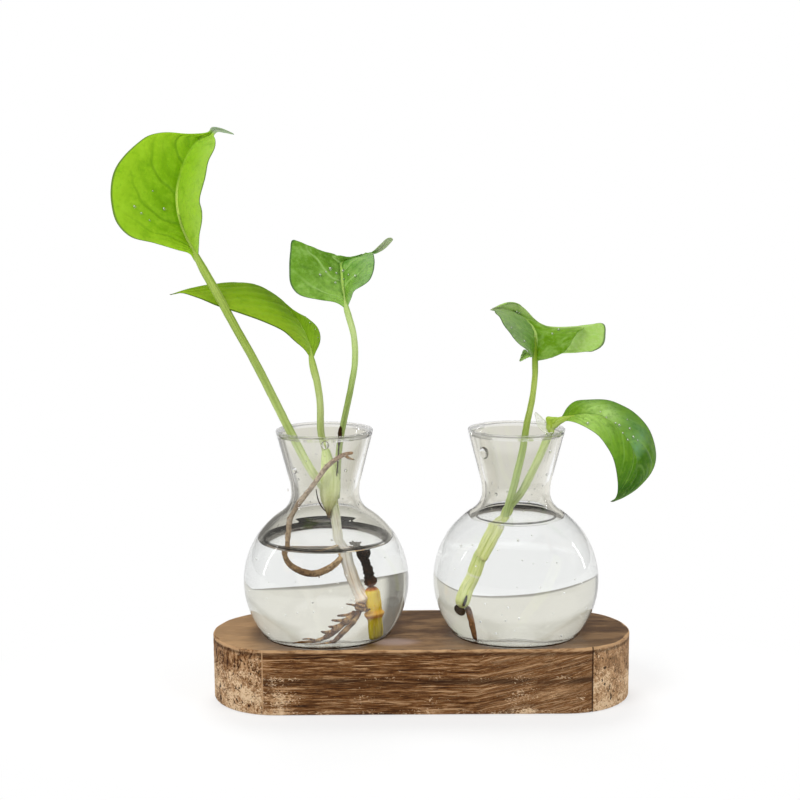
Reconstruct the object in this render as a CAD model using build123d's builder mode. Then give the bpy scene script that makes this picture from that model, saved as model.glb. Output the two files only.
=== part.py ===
"""Propagation vase: two round glass vases seated in a wooden board, each holding a rooted leafy cutting."""

import os
from math import acos, atan2, cos, hypot, pi, sin, sqrt

from build123d import *

os.makedirs("parts", exist_ok=True)

# Board, in millimetres, resting on z = 0 and centred on the origin
board_length = 203
board_depth = 66
board_height = 31.5
board_edge = 0.8
vase_spacing = 92
recess_depth = 3.5
recess_clearance = 0.35

# Glass vase: heights are above the middle of its round bulb, drops are below it
bulb_radius = 40
wall = 2
foot_drop = 29
floor_thickness = 4
floor_corner = 8
punt_radius = 16
punt_height = 3
neck_radius = 16.4
neck_rise = 43.2
neck_curve = 25
rim_radius = 23.3
rim_rise = 73.2
bead_radius = 1.15

# Cuttings: thick stems, leaf stalks and roots, by radius
cane_radius = 2.9
dry_tip_radius = 1.7
shoot_radius = 2
crown_radius = 4.6
tall_stalk_radius = 2
side_stalk_radius = 1.65
small_stalk_radius = 1.55
vine_radius = 2.5
top_stalk_radius = 1.65
drooping_stalk_radius = 1.85
root_radius = 1.45
rootlet_radius = 0.6
sheath_length = 12
leaf_thickness = 0.9
seat_gap = 0.3

# Leaves, each from its stalk to its far tip
tall_leaf_length = 60
side_leaf_length = 76
small_leaf_length = 44
top_leaf_length = 52
drooping_leaf_length = 66

# Places that follow from the sizes above
seat_height = board_height - recess_depth
bulb_height = seat_height + foot_drop
floor_drop = foot_drop - floor_thickness
recess_radius = sqrt(bulb_radius**2 - (foot_drop - recess_depth) ** 2) + recess_clearance
left, right = -vase_spacing / 2, vase_spacing / 2


def keep(builder, name):
    """Labels a finished piece and writes it as its own STEP file."""
    builder.part.label = name
    export_step(builder.part, f"parts/{name}.step")


# Board: a rounded plank with a shallow round recess under each vase
with BuildPart() as board:
    with BuildSketch():
        SlotOverall(board_length, board_depth)
    extrude(amount=board_height)
    levels = board.edges().group_by(Axis.Z)
    fillet(levels[0] + levels[-1], radius=board_edge)
    with BuildSketch(Plane.XY.offset(seat_height)):
        with GridLocations(vase_spacing, 0, 2, 1):
            Circle(recess_radius)
    extrude(amount=recess_depth, mode=Mode.SUBTRACT)
keep(board, "board")

# Vase profile: the shoulder arc touches the bulb and stands upright at the neck
shoulder_curve = (neck_radius**2 + neck_rise**2 - bulb_radius**2) / (2 * (bulb_radius - neck_radius))
shoulder_centre = (neck_radius + shoulder_curve, neck_rise)
shoulder_angle = atan2(neck_rise, neck_radius + shoulder_curve)
foot_angle = -acos(sqrt(bulb_radius**2 - foot_drop**2) / bulb_radius)
neck_centre = (neck_radius + neck_curve, neck_rise)
rim_from_neck = (rim_radius - neck_centre[0], rim_rise - neck_centre[1])
flare_angle = atan2(rim_from_neck[1], rim_from_neck[0]) + acos(neck_curve / hypot(*rim_from_neck))
inner_radius = bulb_radius - wall
corner_reach = inner_radius - floor_corner
corner_centre = (sqrt(corner_reach**2 - (floor_drop - floor_corner) ** 2), floor_corner - floor_drop)
corner_angle = atan2(corner_centre[1], corner_centre[0])
dome_curve = (punt_radius**2 + punt_height**2) / (2 * punt_height)


def on_circle(centre, radius, angle):
    """The point of a circle at an angle in radians."""
    return (centre[0] + radius * cos(angle), centre[1] + radius * sin(angle))


def arc(centre, radius, start, end):
    """Draws a circle's arc between two angles in radians."""
    angles = (start, (start + end) / 2, end)
    ThreePointArc(*(on_circle(centre, radius, angle) for angle in angles))


def dome(base):
    """Draws the low dome of the punt, from the axis out to its edge, over a base height."""
    centre = (0, base + punt_height - dome_curve)
    arc(centre, dome_curve, pi / 2, acos(punt_radius / dome_curve))


def vase(axis_x):
    """Revolves one glass vase about the upright axis at axis_x."""
    outer_rim = (rim_radius, rim_rise)
    inner_rim = on_circle(outer_rim, wall, flare_angle)
    bead_centre = on_circle(outer_rim, wall / 2, flare_angle)
    face_plane = Plane(origin=(axis_x, 0, bulb_height), x_dir=(1, 0, 0), z_dir=(0, -1, 0))
    with BuildPart() as glass:
        with BuildSketch(face_plane):
            with BuildLine():
                dome(-foot_drop)
                Line((punt_radius, -foot_drop), on_circle((0, 0), bulb_radius, foot_angle))
                arc((0, 0), bulb_radius, foot_angle, shoulder_angle)
                arc(shoulder_centre, shoulder_curve, shoulder_angle + pi, pi)
                arc(neck_centre, neck_curve, pi, flare_angle)
                Line(on_circle(neck_centre, neck_curve, flare_angle), outer_rim)
                Line(outer_rim, inner_rim)
                Line(inner_rim, on_circle(neck_centre, neck_curve + wall, flare_angle))
                arc(neck_centre, neck_curve + wall, flare_angle, pi)
                arc(shoulder_centre, shoulder_curve + wall, pi, shoulder_angle + pi)
                arc((0, 0), inner_radius, shoulder_angle, corner_angle)
                arc(corner_centre, floor_corner, corner_angle, -pi / 2)
                Line((corner_centre[0], -floor_drop), (punt_radius, -floor_drop))
                dome(-floor_drop)
                Line((0, punt_height - floor_drop), (0, punt_height - foot_drop))
            make_face()
            with Locations(bead_centre):
                Circle(bead_radius)
        revolve(axis=Axis((axis_x, 0, 0), (0, 0, 1)))
    return glass


for name, axis_x in (("left_glass", left), ("right_glass", right)):
    keep(vase(axis_x), name)


def in_bulb(axis_x, x_share, y_share, z_share):
    """A place in a bulb: across in bulb radii, up in neck rises or down in floor drops."""
    reach = neck_rise if z_share > 0 else floor_drop
    across = (axis_x + x_share * bulb_radius, y_share * bulb_radius)
    return Vector(*across, bulb_height + z_share * reach)


def at_rim(axis_x, x_share, y_share, z_share):
    """A place in or above a neck: across in rim radii, up in shares of the rim's rise over the bulb."""
    across = (axis_x + x_share * rim_radius, y_share * rim_radius)
    return Vector(*across, bulb_height + z_share * rim_rise)


def rod(points, radii, level_start=False):
    """Adds a rod lofted through a circle at each point, square to its run or, at a level start, flat."""
    sections = []
    for index, (point, radius) in enumerate(zip(points, radii)):
        run = points[min(index + 1, len(points) - 1)] - points[max(index - 1, 0)]
        if level_start and index == 0:
            run = Vector(0, 0, run.Z)
        with BuildSketch(Plane(origin=point, x_dir=(0, 1, 0), z_dir=run)) as section:
            Circle(radius)
        sections.append(section.sketch)
    loft(sections=sections)


def tapered(radius, shares):
    """Radii along a rod as shares of its main radius."""
    return [radius * share for share in shares]


# Left cutting: a cut length of cane standing on the vase's floor, its foot lifted clear of the punt's edge
cane_foot_shares = (0.45, 0, -1)
cane_top_shares = (0.415, 0, -0.06)
cane_lift_share = 1 / 9
cane_step_shares = (0, 0.5, 0.62, 1)
cane_width_shares = (0.95, 1, 1.04, 0.97)
cane_foot = in_bulb(left, *cane_foot_shares) + Vector(0, 0, seat_gap + cane_lift_share * cane_radius)
cane_top = in_bulb(left, *cane_top_shares)
with BuildPart() as left_cane:
    cane_points = [cane_foot + (cane_top - cane_foot) * share for share in cane_step_shares]
    rod(cane_points, tapered(cane_radius, cane_width_shares))
keep(left_cane, "left_cane")

# Dry brown stub on top of the cane, with a ragged head
dry_tip_shares = ((0.385, 0, 0.08), (0.345, 0, 0.25))
dry_tip_width_shares = (1.25, 0.9, 1.2)
with BuildPart() as left_cane_dry_tip:
    dry_tip_points = [cane_top] + [in_bulb(left, *place) for place in dry_tip_shares]
    rod(dry_tip_points, tapered(dry_tip_radius, dry_tip_width_shares))
keep(left_cane_dry_tip, "left_cane_dry_tip")

# Pale shoot from the cane's side up to the crown where the leaf stalks start
left_crown_shares = (0.07, 0.015, 0.99)
left_crown = in_bulb(left, *left_crown_shares)
shoot_shares = (
    (0.115, 0, 0.78),
    (0.14, -0.01, 0.52),
    (0.175, -0.02, 0.27),
    (0.24, -0.02, 0.02),
    (0.325, -0.015, -0.31),
)
shoot_width_shares = (crown_radius / shoot_radius, 1.25, 1, 1, 1.1, 1.45)
with BuildPart() as left_shoot:
    shoot_points = [left_crown] + [in_bulb(left, *place) for place in shoot_shares]
    rod(shoot_points, tapered(shoot_radius, shoot_width_shares), level_start=True)
keep(left_shoot, "left_shoot")

# Leaf stalks of the left cutting, from the crown up through the neck: start, route and widths of each
left_stalk_shares = {
    "left_tall_stalk": (
        tall_stalk_radius,
        (-0.0575, -0.02),
        (
            (-0.24, -0.1, 0.75),
            (-0.55, -0.2, 0.98),
            (-1.22, -0.38, 1.445),
            (-2.06, -0.42, 1.94),
            (-2.45, -0.36, 2.155),
        ),
        (0.9, 1, 1, 1.05, 1.1, 0.9),
    ),
    "left_side_stalk": (
        side_stalk_radius,
        (-0.045, 0.075),
        (
            (0, 0.14, 0.86),
            (-0.06, 0.15, 0.99),
            (-0.08, 0.14, 1.195),
            (-0.14, 0.12, 1.33),
            (-0.23, 0.09, 1.475),
        ),
        (1, 1, 1, 1, 1.05, 1.1),
    ),
    "left_small_stalk": (
        small_stalk_radius,
        (0.0675, -0.015),
        (
            (0.28, -0.02, 0.81),
            (0.46, -0.02, 1.125),
            (0.58, -0.01, 1.295),
            (0.67, 0.01, 1.465),
            (0.65, 0.03, 1.63),
            (0.51, 0.04, 1.8),
        ),
        (1.05, 1, 1, 1, 1, 1, 1.05),
    ),
}
stalk_tops = {}
for name, (radius, crown_shares, route_shares, width_shares) in left_stalk_shares.items():
    start = left_crown + Vector(crown_shares[0] * bulb_radius, crown_shares[1] * bulb_radius, 0)
    with BuildPart() as stalk:
        stalk_points = [start] + [at_rim(left, *place) for place in route_shares]
        rod(stalk_points, tapered(radius, width_shares), level_start=True)
    keep(stalk, name)
    stalk_tops[name] = stalk_points[-1]

# Brown root that loops out of the shoot, round the front of the bulb and up into the neck
loop_shares = (
    (0.165, -0.04, 0.2),
    (0.07, -0.12, 0.12),
    (-0.09, -0.25, 0.07),
    (-0.25, -0.35, 0.14),
    (-0.38, -0.38, 0.24),
    (-0.43, -0.37, 0.42),
    (-0.4, -0.28, 0.64),
    (-0.31, -0.15, 0.87),
)
loop_end_shares = ((-0.42, -0.28, 0.63), (-0.1, -0.3, 0.74), (0.2, -0.28, 0.81), (0.55, -0.24, 0.885))
loop_bend_share = 3
with BuildPart() as left_root_loop:
    loop_points = [in_bulb(left, *place) for place in loop_shares]
    loop_points += [at_rim(left, *place) for place in loop_end_shares]
    with BuildLine() as loop_path:
        FilletPolyline(*loop_points, radius=loop_bend_share * root_radius)
    with BuildSketch(Plane(origin=loop_path.line @ 0, z_dir=loop_path.line % 0)):
        Circle(root_radius)
    sweep()
keep(left_root_loop, "left_root_loop")

# Brown roots under the shoot: one thick root with finer ones beside it, lying on the vase's floor
thick_root_shares = (
    (0.3, -0.06, -0.44),
    (0.2, -0.13, -0.64),
    (0.045, -0.2, -0.815),
    (-0.1, -0.24, -0.86),
    (-0.29, -0.26, -0.89),
)
rootlet_shares = (
    ((0.26, -0.1, -0.5), (0.18, -0.12, -0.5), (0.09, -0.15, -0.49)),
    ((0.2, -0.14, -0.62), (0.13, -0.17, -0.59), (0.06, -0.19, -0.585)),
    ((0.05, -0.2, -0.8), (-0.02, -0.24, -0.78), (-0.09, -0.26, -0.785)),
)
thick_root_width_shares = (1, 0.875, 0.75, 0.625, 0.5)
rootlet_width_shares = (1, 0.75, 0.5)
with BuildPart() as left_roots:
    thick_root_points = [in_bulb(left, *place) for place in thick_root_shares]
    rod(thick_root_points, tapered(root_radius, thick_root_width_shares))
    for route_shares in rootlet_shares:
        rootlet_points = [in_bulb(left, *place) for place in route_shares]
        rod(rootlet_points, tapered(rootlet_radius, rootlet_width_shares))
keep(left_roots, "left_roots")

# Right cutting: a green vine that leans across the bulb, cut off below and rooted beside the cut
right_crown_shares = (-0.1, 0, 0.78)
right_crown = in_bulb(right, *right_crown_shares)
vine_shares = (
    (-0.18, 0, 0.55),
    (-0.26, 0, 0.33),
    (-0.36, 0.01, 0.16),
    (-0.44, 0.02, -0.14),
    (-0.5, 0.02, -0.41),
)
vine_width_shares = (1.6, 1.1, 1.05, 1, 1.05, 1)
with BuildPart() as right_vine:
    vine_points = [right_crown] + [in_bulb(right, *place) for place in vine_shares]
    rod(vine_points, tapered(vine_radius, vine_width_shares), level_start=True)
keep(right_vine, "right_vine")

# Leaf stalks of the right cutting, one in front of the other where they leave the vine
right_stalk_shares = {
    "right_top_stalk": (
        top_stalk_radius,
        (-0.01, -0.0475),
        (
            (-0.02, -0.07, 0.67),
            (0.12, -0.06, 0.855),
            (0.235, -0.05, 1.04),
            (0.335, -0.05, 1.195),
            (0.385, -0.04, 1.345),
            (0.4, 0, 1.473),
        ),
        (1, 1, 1, 1, 1, 1, 1.05),
    ),
    "right_drooping_stalk": (
        drooping_stalk_radius,
        (0.01, 0.0475),
        (
            (0.11, 0.06, 0.58),
            (0.37, 0.03, 0.735),
            (0.58, 0, 0.89),
            (0.7, 0, 0.985),
            (0.845, 0, 1.045),
            (0.985, 0, 1.075),
        ),
        (0.95, 0.95, 0.95, 1, 1, 0.95, 0.8),
    ),
}
for name, (radius, crown_shares, route_shares, width_shares) in right_stalk_shares.items():
    start = right_crown + Vector(crown_shares[0] * bulb_radius, crown_shares[1] * bulb_radius, 0)
    with BuildPart() as stalk:
        stalk_points = [start] + [at_rim(right, *place) for place in route_shares]
        rod(stalk_points, tapered(radius, width_shares), level_start=True)
    keep(stalk, name)
    stalk_tops[name] = stalk_points[-1]

# Short brown root that hangs beside the vine's cut end
right_root_shares = ((-0.425, 0, -0.4), (-0.39, 0, -0.7), (-0.355, 0.01, -0.95))
right_root_width_shares = (0.8, 0.75, 0.5)
with BuildPart() as right_root:
    right_root_points = [in_bulb(right, *place) for place in right_root_shares]
    rod(right_root_points, tapered(root_radius, right_root_width_shares))
keep(right_root, "right_root")

# Leaves: each row is the near edge, the midrib and the far edge, in leaf lengths from the top of the stalk
leaf_shares = {
    "left_tall_leaf": (
        tall_leaf_length,
        "left_tall_stalk",
        (
            ((-0.02, 0, 0), (0, 0, 0), (0.02, -0.01, 0.01)),
            ((-0.16, -0.05, 0.06), (-0.05, 0.02, 0.11), (0.04, -0.07, 0.11)),
            ((-0.39, -0.12, 0.13), (-0.09, 0.03, 0.21), (0.06, -0.13, 0.22)),
            ((-0.55, -0.17, 0.23), (-0.12, 0.05, 0.31), (0.08, -0.18, 0.32)),
            ((-0.61, -0.17, 0.42), (-0.14, 0.07, 0.42), (0.08, -0.2, 0.44)),
            ((-0.59, -0.12, 0.63), (-0.13, 0.08, 0.54), (0.11, -0.18, 0.57)),
            ((-0.49, -0.05, 0.77), (-0.11, 0.12, 0.66), (0.13, -0.13, 0.7)),
            ((-0.35, 0.05, 0.92), (-0.06, 0.15, 0.78), (0.15, -0.05, 0.8)),
            ((-0.16, 0.12, 0.95), (0, 0.18, 0.88), (0.15, 0.07, 0.86)),
            ((0.07, 0.18, 0.95), (0.1, 0.19, 0.93), (0.15, 0.17, 0.91)),
            ((0.17, 0.2, 0.97), (0.185, 0.2, 0.96), (0.2, 0.19, 0.95)),
            ((0.29, 0.18, 0.95), (0.3, 0.18, 0.94), (0.31, 0.18, 0.93)),
        ),
    ),
    "left_side_leaf": (
        side_leaf_length,
        "left_side_stalk",
        (
            ((-0.02, 0, 0.01), (0, 0, 0), (0.01, 0, 0.02)),
            ((-0.06, -0.03, 0.08), (-0.02, 0.02, 0.08), (0.05, 0.07, 0.08)),
            ((-0.11, -0.04, 0.14), (-0.07, 0.06, 0.15), (0.05, 0.16, 0.16)),
            ((-0.18, -0.05, 0.2), (-0.14, 0.09, 0.22), (-0.03, 0.24, 0.23)),
            ((-0.29, -0.05, 0.25), (-0.25, 0.1, 0.31), (-0.16, 0.28, 0.3)),
            ((-0.42, -0.05, 0.3), (-0.38, 0.1, 0.36), (-0.29, 0.3, 0.41)),
            ((-0.55, -0.04, 0.34), (-0.51, 0.08, 0.39), (-0.44, 0.28, 0.46)),
            ((-0.68, -0.02, 0.39), (-0.65, 0.06, 0.41), (-0.6, 0.19, 0.46)),
            ((-0.78, 0, 0.42), (-0.76, 0.04, 0.43), (-0.74, 0.1, 0.45)),
            ((-0.86, 0.01, 0.42), (-0.85, 0.02, 0.42), (-0.85, 0.03, 0.43)),
        ),
    ),
    "left_small_leaf": (
        small_leaf_length,
        "left_small_stalk",
        (
            ((-0.02, 0, 0.01), (0, 0, 0), (0.02, 0, 0.01)),
            ((-0.25, -0.05, 0.1), (-0.01, 0.05, 0.09), (0.07, -0.05, 0.16)),
            ((-0.5, -0.07, 0.16), (-0.03, 0.09, 0.2), (0.16, -0.09, 0.24)),
            ((-0.59, -0.05, 0.29), (-0.03, 0.14, 0.29), (0.24, -0.11, 0.31)),
            ((-0.6, 0.02, 0.49), (-0.03, 0.18, 0.38), (0.3, -0.09, 0.41)),
            ((-0.56, 0.16, 0.73), (0, 0.25, 0.43), (0.31, 0, 0.49)),
            ((-0.32, 0.27, 0.62), (0.06, 0.3, 0.44), (0.3, 0.12, 0.53)),
            ((-0.08, 0.34, 0.5), (0.16, 0.36, 0.46), (0.28, 0.24, 0.54)),
            ((0.14, 0.38, 0.5), (0.22, 0.39, 0.5), (0.29, 0.34, 0.54)),
            ((0.32, 0.4, 0.58), (0.33, 0.4, 0.57), (0.35, 0.4, 0.55)),
            ((0.46, 0.4, 0.74), (0.47, 0.4, 0.73), (0.49, 0.4, 0.72)),
        ),
    ),
    "right_top_leaf": (
        top_leaf_length,
        "right_top_stalk",
        (
            ((-0.02, 0, 0.01), (0, 0, 0), (0.02, 0, 0.01)),
            ((-0.08, -0.1, 0.08), (0.01, 0.02, 0.08), (0.18, -0.13, 0.03)),
            ((-0.16, -0.15, 0.15), (0.01, 0.06, 0.16), (0.4, -0.12, 0.06)),
            ((-0.22, -0.19, 0.21), (0, 0.1, 0.23), (0.58, 0, 0.06)),
            ((-0.26, -0.21, 0.27), (-0.02, 0.13, 0.28), (0.65, 0.12, 0.16)),
            ((-0.31, -0.21, 0.34), (-0.07, 0.17, 0.31), (0.62, 0.23, 0.24)),
            ((-0.34, -0.19, 0.39), (-0.13, 0.18, 0.35), (0.34, 0.29, 0.2)),
            ((-0.36, -0.16, 0.42), (-0.2, 0.16, 0.4), (0.04, 0.29, 0.27)),
            ((-0.38, -0.13, 0.43), (-0.26, 0.1, 0.45), (-0.14, 0.2, 0.45)),
            ((-0.39, -0.1, 0.44), (-0.34, 0, 0.46), (-0.28, 0.1, 0.47)),
            ((-0.42, -0.06, 0.44), (-0.42, -0.04, 0.44), (-0.42, -0.02, 0.45)),
        ),
    ),
    "right_drooping_leaf": (
        drooping_leaf_length,
        "right_drooping_stalk",
        (
            ((0.01, -0.02, -0.01), (0, 0, 0), (-0.01, 0.02, 0.01)),
            ((0.07, -0.05, -0.02), (0.06, 0, 0.04), (0.04, 0.06, 0.08)),
            ((0.15, -0.09, -0.05), (0.16, -0.03, 0.04), (0.18, 0.11, 0.1)),
            ((0.23, -0.12, -0.11), (0.28, -0.06, 0), (0.36, 0.12, 0.1)),
            ((0.29, -0.15, -0.19), (0.37, -0.08, -0.09), (0.5, 0.12, 0.04)),
            ((0.33, -0.17, -0.27), (0.44, -0.11, -0.19), (0.61, 0.09, -0.08)),
            ((0.35, -0.18, -0.36), (0.48, -0.14, -0.3), (0.68, 0.05, -0.24)),
            ((0.36, -0.18, -0.45), (0.48, -0.15, -0.41), (0.66, -0.02, -0.4)),
            ((0.35, -0.18, -0.54), (0.42, -0.17, -0.53), (0.54, -0.08, -0.53)),
            ((0.27, -0.18, -0.61), (0.29, -0.17, -0.61), (0.31, -0.16, -0.61)),
        ),
    ),
}
leaf_back = Vector(0, 1, -0.5)
for name, (length, stalk_name, rows) in leaf_shares.items():
    blade_points = [[stalk_tops[stalk_name] + Vector(*place) * length for place in row] for row in rows]
    blade = Face.make_surface_from_array_of_points(blade_points)
    with BuildPart() as leaf:
        extrude(blade, amount=leaf_thickness, dir=leaf_back)
    keep(leaf, name)

# Papery sheath that curls off the lower leaf's stalk at the mouth of the right vase
sheath_shares = (
    ((0, 0, -0.15), (0, 0.05, 0), (0, 0.1, 0.12)),
    ((-0.35, -0.05, -0.25), (-0.4, 0, -0.1), (-0.35, 0.1, 0.05)),
    ((-0.7, -0.05, -0.2), (-0.75, 0, -0.05), (-0.7, 0.1, 0.05)),
    ((-0.95, 0, 0.15), (-0.97, 0.02, 0.2), (-0.95, 0.05, 0.25)),
)
sheath_foot_shares = (0.93, 0.1, 1.07)
sheath_foot = at_rim(right, *sheath_foot_shares)
sheath_points = [[sheath_foot + Vector(*place) * sheath_length for place in row] for row in sheath_shares]
with BuildPart() as right_sheath:
    extrude(Face.make_surface_from_array_of_points(sheath_points), amount=leaf_thickness / 2, dir=leaf_back)
keep(right_sheath, "right_sheath")
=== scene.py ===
"""Dresses the propagation vase: blown glass, water, two rooted cuttings and a worn wooden board."""

from contextlib import contextmanager
from math import acos, atan2, cos, hypot, pi, radians, sin, sqrt

import bmesh
import bpy
import numpy as np
from bpy.props import FloatProperty, FloatVectorProperty, PointerProperty
from mathutils import Matrix, Vector, noise


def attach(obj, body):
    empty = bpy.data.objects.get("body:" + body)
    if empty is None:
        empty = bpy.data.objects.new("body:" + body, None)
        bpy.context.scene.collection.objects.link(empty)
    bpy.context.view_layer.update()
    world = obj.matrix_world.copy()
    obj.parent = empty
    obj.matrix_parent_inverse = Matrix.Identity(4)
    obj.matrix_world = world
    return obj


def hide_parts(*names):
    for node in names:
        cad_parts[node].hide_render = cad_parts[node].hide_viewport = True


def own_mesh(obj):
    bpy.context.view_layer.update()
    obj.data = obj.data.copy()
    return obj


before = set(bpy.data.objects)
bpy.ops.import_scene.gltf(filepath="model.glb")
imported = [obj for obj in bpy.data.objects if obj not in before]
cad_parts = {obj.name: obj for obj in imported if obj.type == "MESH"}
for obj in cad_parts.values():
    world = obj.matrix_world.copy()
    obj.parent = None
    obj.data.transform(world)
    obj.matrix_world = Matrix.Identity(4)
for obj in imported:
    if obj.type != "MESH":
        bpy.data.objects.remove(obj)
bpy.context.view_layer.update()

bl_info = {
    "name": "Propagation vase",
    "version": (1, 0, 0),
    "blender": (4, 5, 0),
    "location": "3D View > Sidebar > Vase",
    "description": "Two round glass vases in a wooden board, each with a rooted leafy cutting in water",
    "category": "Add Mesh",
}

MM = 0.001

# Camera in millimetres and radians; places are given in pixels of its square picture
PICTURE = 800
CAMERA_PLACE = Vector((-9.69, -682.2, 243.0))
CAMERA_PITCH, CAMERA_ROLL = 0.143, -0.006
CAMERA_FOCUS = 1442.5
SENSOR = 36

# Board and vases in millimetres, as the solids have them
BOARD_HEIGHT, VASE_SPACING = 31.5, 92
RECESS_DEPTH, RECESS_CLEARANCE = 3.5, 0.35
BULB_RADIUS, WALL, FOOT_DROP = 40, 2, 29
FLOOR_THICKNESS, FLOOR_CORNER = 4, 8
PUNT_RADIUS, PUNT_HEIGHT = 16, 3
NECK_RADIUS, NECK_RISE, NECK_CURVE = 16.4, 43.2, 25
RIM_RADIUS, RIM_RISE = 23.3, 73.2
SEAT_HEIGHT = BOARD_HEIGHT - RECESS_DEPTH
BULB_HEIGHT = SEAT_HEIGHT + FOOT_DROP
FLOOR_DROP = FOOT_DROP - FLOOR_THICKNESS
RECESS_RADIUS = sqrt(BULB_RADIUS**2 - (FOOT_DROP - RECESS_DEPTH) ** 2) + RECESS_CLEARANCE
LEFT, RIGHT = -VASE_SPACING / 2, VASE_SPACING / 2

# Only in the picture: the wall thins towards a rim that looks clear, and the water reaches into the glass
RIM_WALL = 1.3
CLEAR_RIM = 2.2
WATER_OVERLAP = 0.25
GLASS_IOR, WATER_IOR = 1.48, 1.33
GLASS_SIDES, WATER_SIDES, RECESS_SIDES, ROOM_SIDES = 224, 192, 128, 180


def paint(red, green, blue):
    """A linear colour from the screen values 0 to 255."""
    channels = [value / 255 for value in (red, green, blue)]
    return tuple(v / 12.92 if v <= 0.04045 else ((v + 0.055) / 1.055) ** 2.4 for v in channels)


def opaque(colour):
    return (*colour, 1)


# Places ----------------------------------------


def seen(across, down, depth):
    """The place that the camera sees at a pixel, a depth behind the middle of the vases."""
    u, v = across - PICTURE / 2, down - PICTURE / 2
    u, v = u * cos(CAMERA_ROLL) + v * sin(CAMERA_ROLL), v * cos(CAMERA_ROLL) - u * sin(CAMERA_ROLL)
    rise = Vector((0, sin(CAMERA_PITCH), cos(CAMERA_PITCH)))
    ahead = Vector((0, cos(CAMERA_PITCH), -sin(CAMERA_PITCH)))
    ray = Vector((u / CAMERA_FOCUS, 0, 0)) - rise * (v / CAMERA_FOCUS) + ahead
    return CAMERA_PLACE + ray * ((depth - CAMERA_PLACE.y) / ray.y)


def in_bulb(axis_x, x_share, y_share, z_share):
    """A place in a bulb: across in bulb radii, up in neck rises or down in floor drops."""
    reach = NECK_RISE if z_share > 0 else FLOOR_DROP
    return Vector((axis_x + x_share * BULB_RADIUS, y_share * BULB_RADIUS, BULB_HEIGHT + z_share * reach))


def at_rim(axis_x, x_share, y_share, z_share):
    """A place in or above a neck: across in rim radii, up in shares of the rim's rise over the bulb."""
    across = (axis_x + x_share * RIM_RADIUS, y_share * RIM_RADIUS)
    return Vector((*across, BULB_HEIGHT + z_share * RIM_RISE))


def through(times, values, wanted):
    """Values of the smooth curve that meets each row of values at its time."""
    times, values, wanted = (np.asarray(numbers, float) for numbers in (times, values, wanted))
    slopes = np.gradient(values, times, axis=0)
    index = np.clip(np.searchsorted(times, wanted, side="right") - 1, 0, len(times) - 2)
    span = (times[index + 1] - times[index])[:, None]
    part = (wanted - times[index])[:, None] / span
    start, end = values[index], values[index + 1]
    leave, arrive = slopes[index] * span, slopes[index + 1] * span
    return (
        start * (2 * part**3 - 3 * part**2 + 1)
        + leave * (part**3 - 2 * part**2 + part)
        + end * (3 * part**2 - 2 * part**3)
        + arrive * (part**3 - part**2)
    )


def chord_times(points):
    """A time for each point that grows with the root of the distance between points."""
    steps = np.sqrt(np.linalg.norm(np.diff(np.asarray(points, float), axis=0), axis=-1))
    return np.concatenate(([0], np.cumsum(steps)))


def even_samples(knots, pitch):
    """Samples a pitch apart on the curve through the knots, whose numbers after x, y, z follow along."""
    knots = np.asarray(knots, float)
    times = chord_times(knots[:, :3])
    fine = through(times, knots, np.linspace(0, times[-1], 60 * len(knots)))
    run = np.concatenate(([0], np.cumsum(np.linalg.norm(np.diff(fine[:, :3], axis=0), axis=1))))
    count = max(4, int(run[-1] / pitch))
    wanted = np.linspace(0, run[-1], count)
    return np.stack([np.interp(wanted, run, column) for column in fine.T], axis=1), wanted


# Meshes ----------------------------------------


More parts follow.
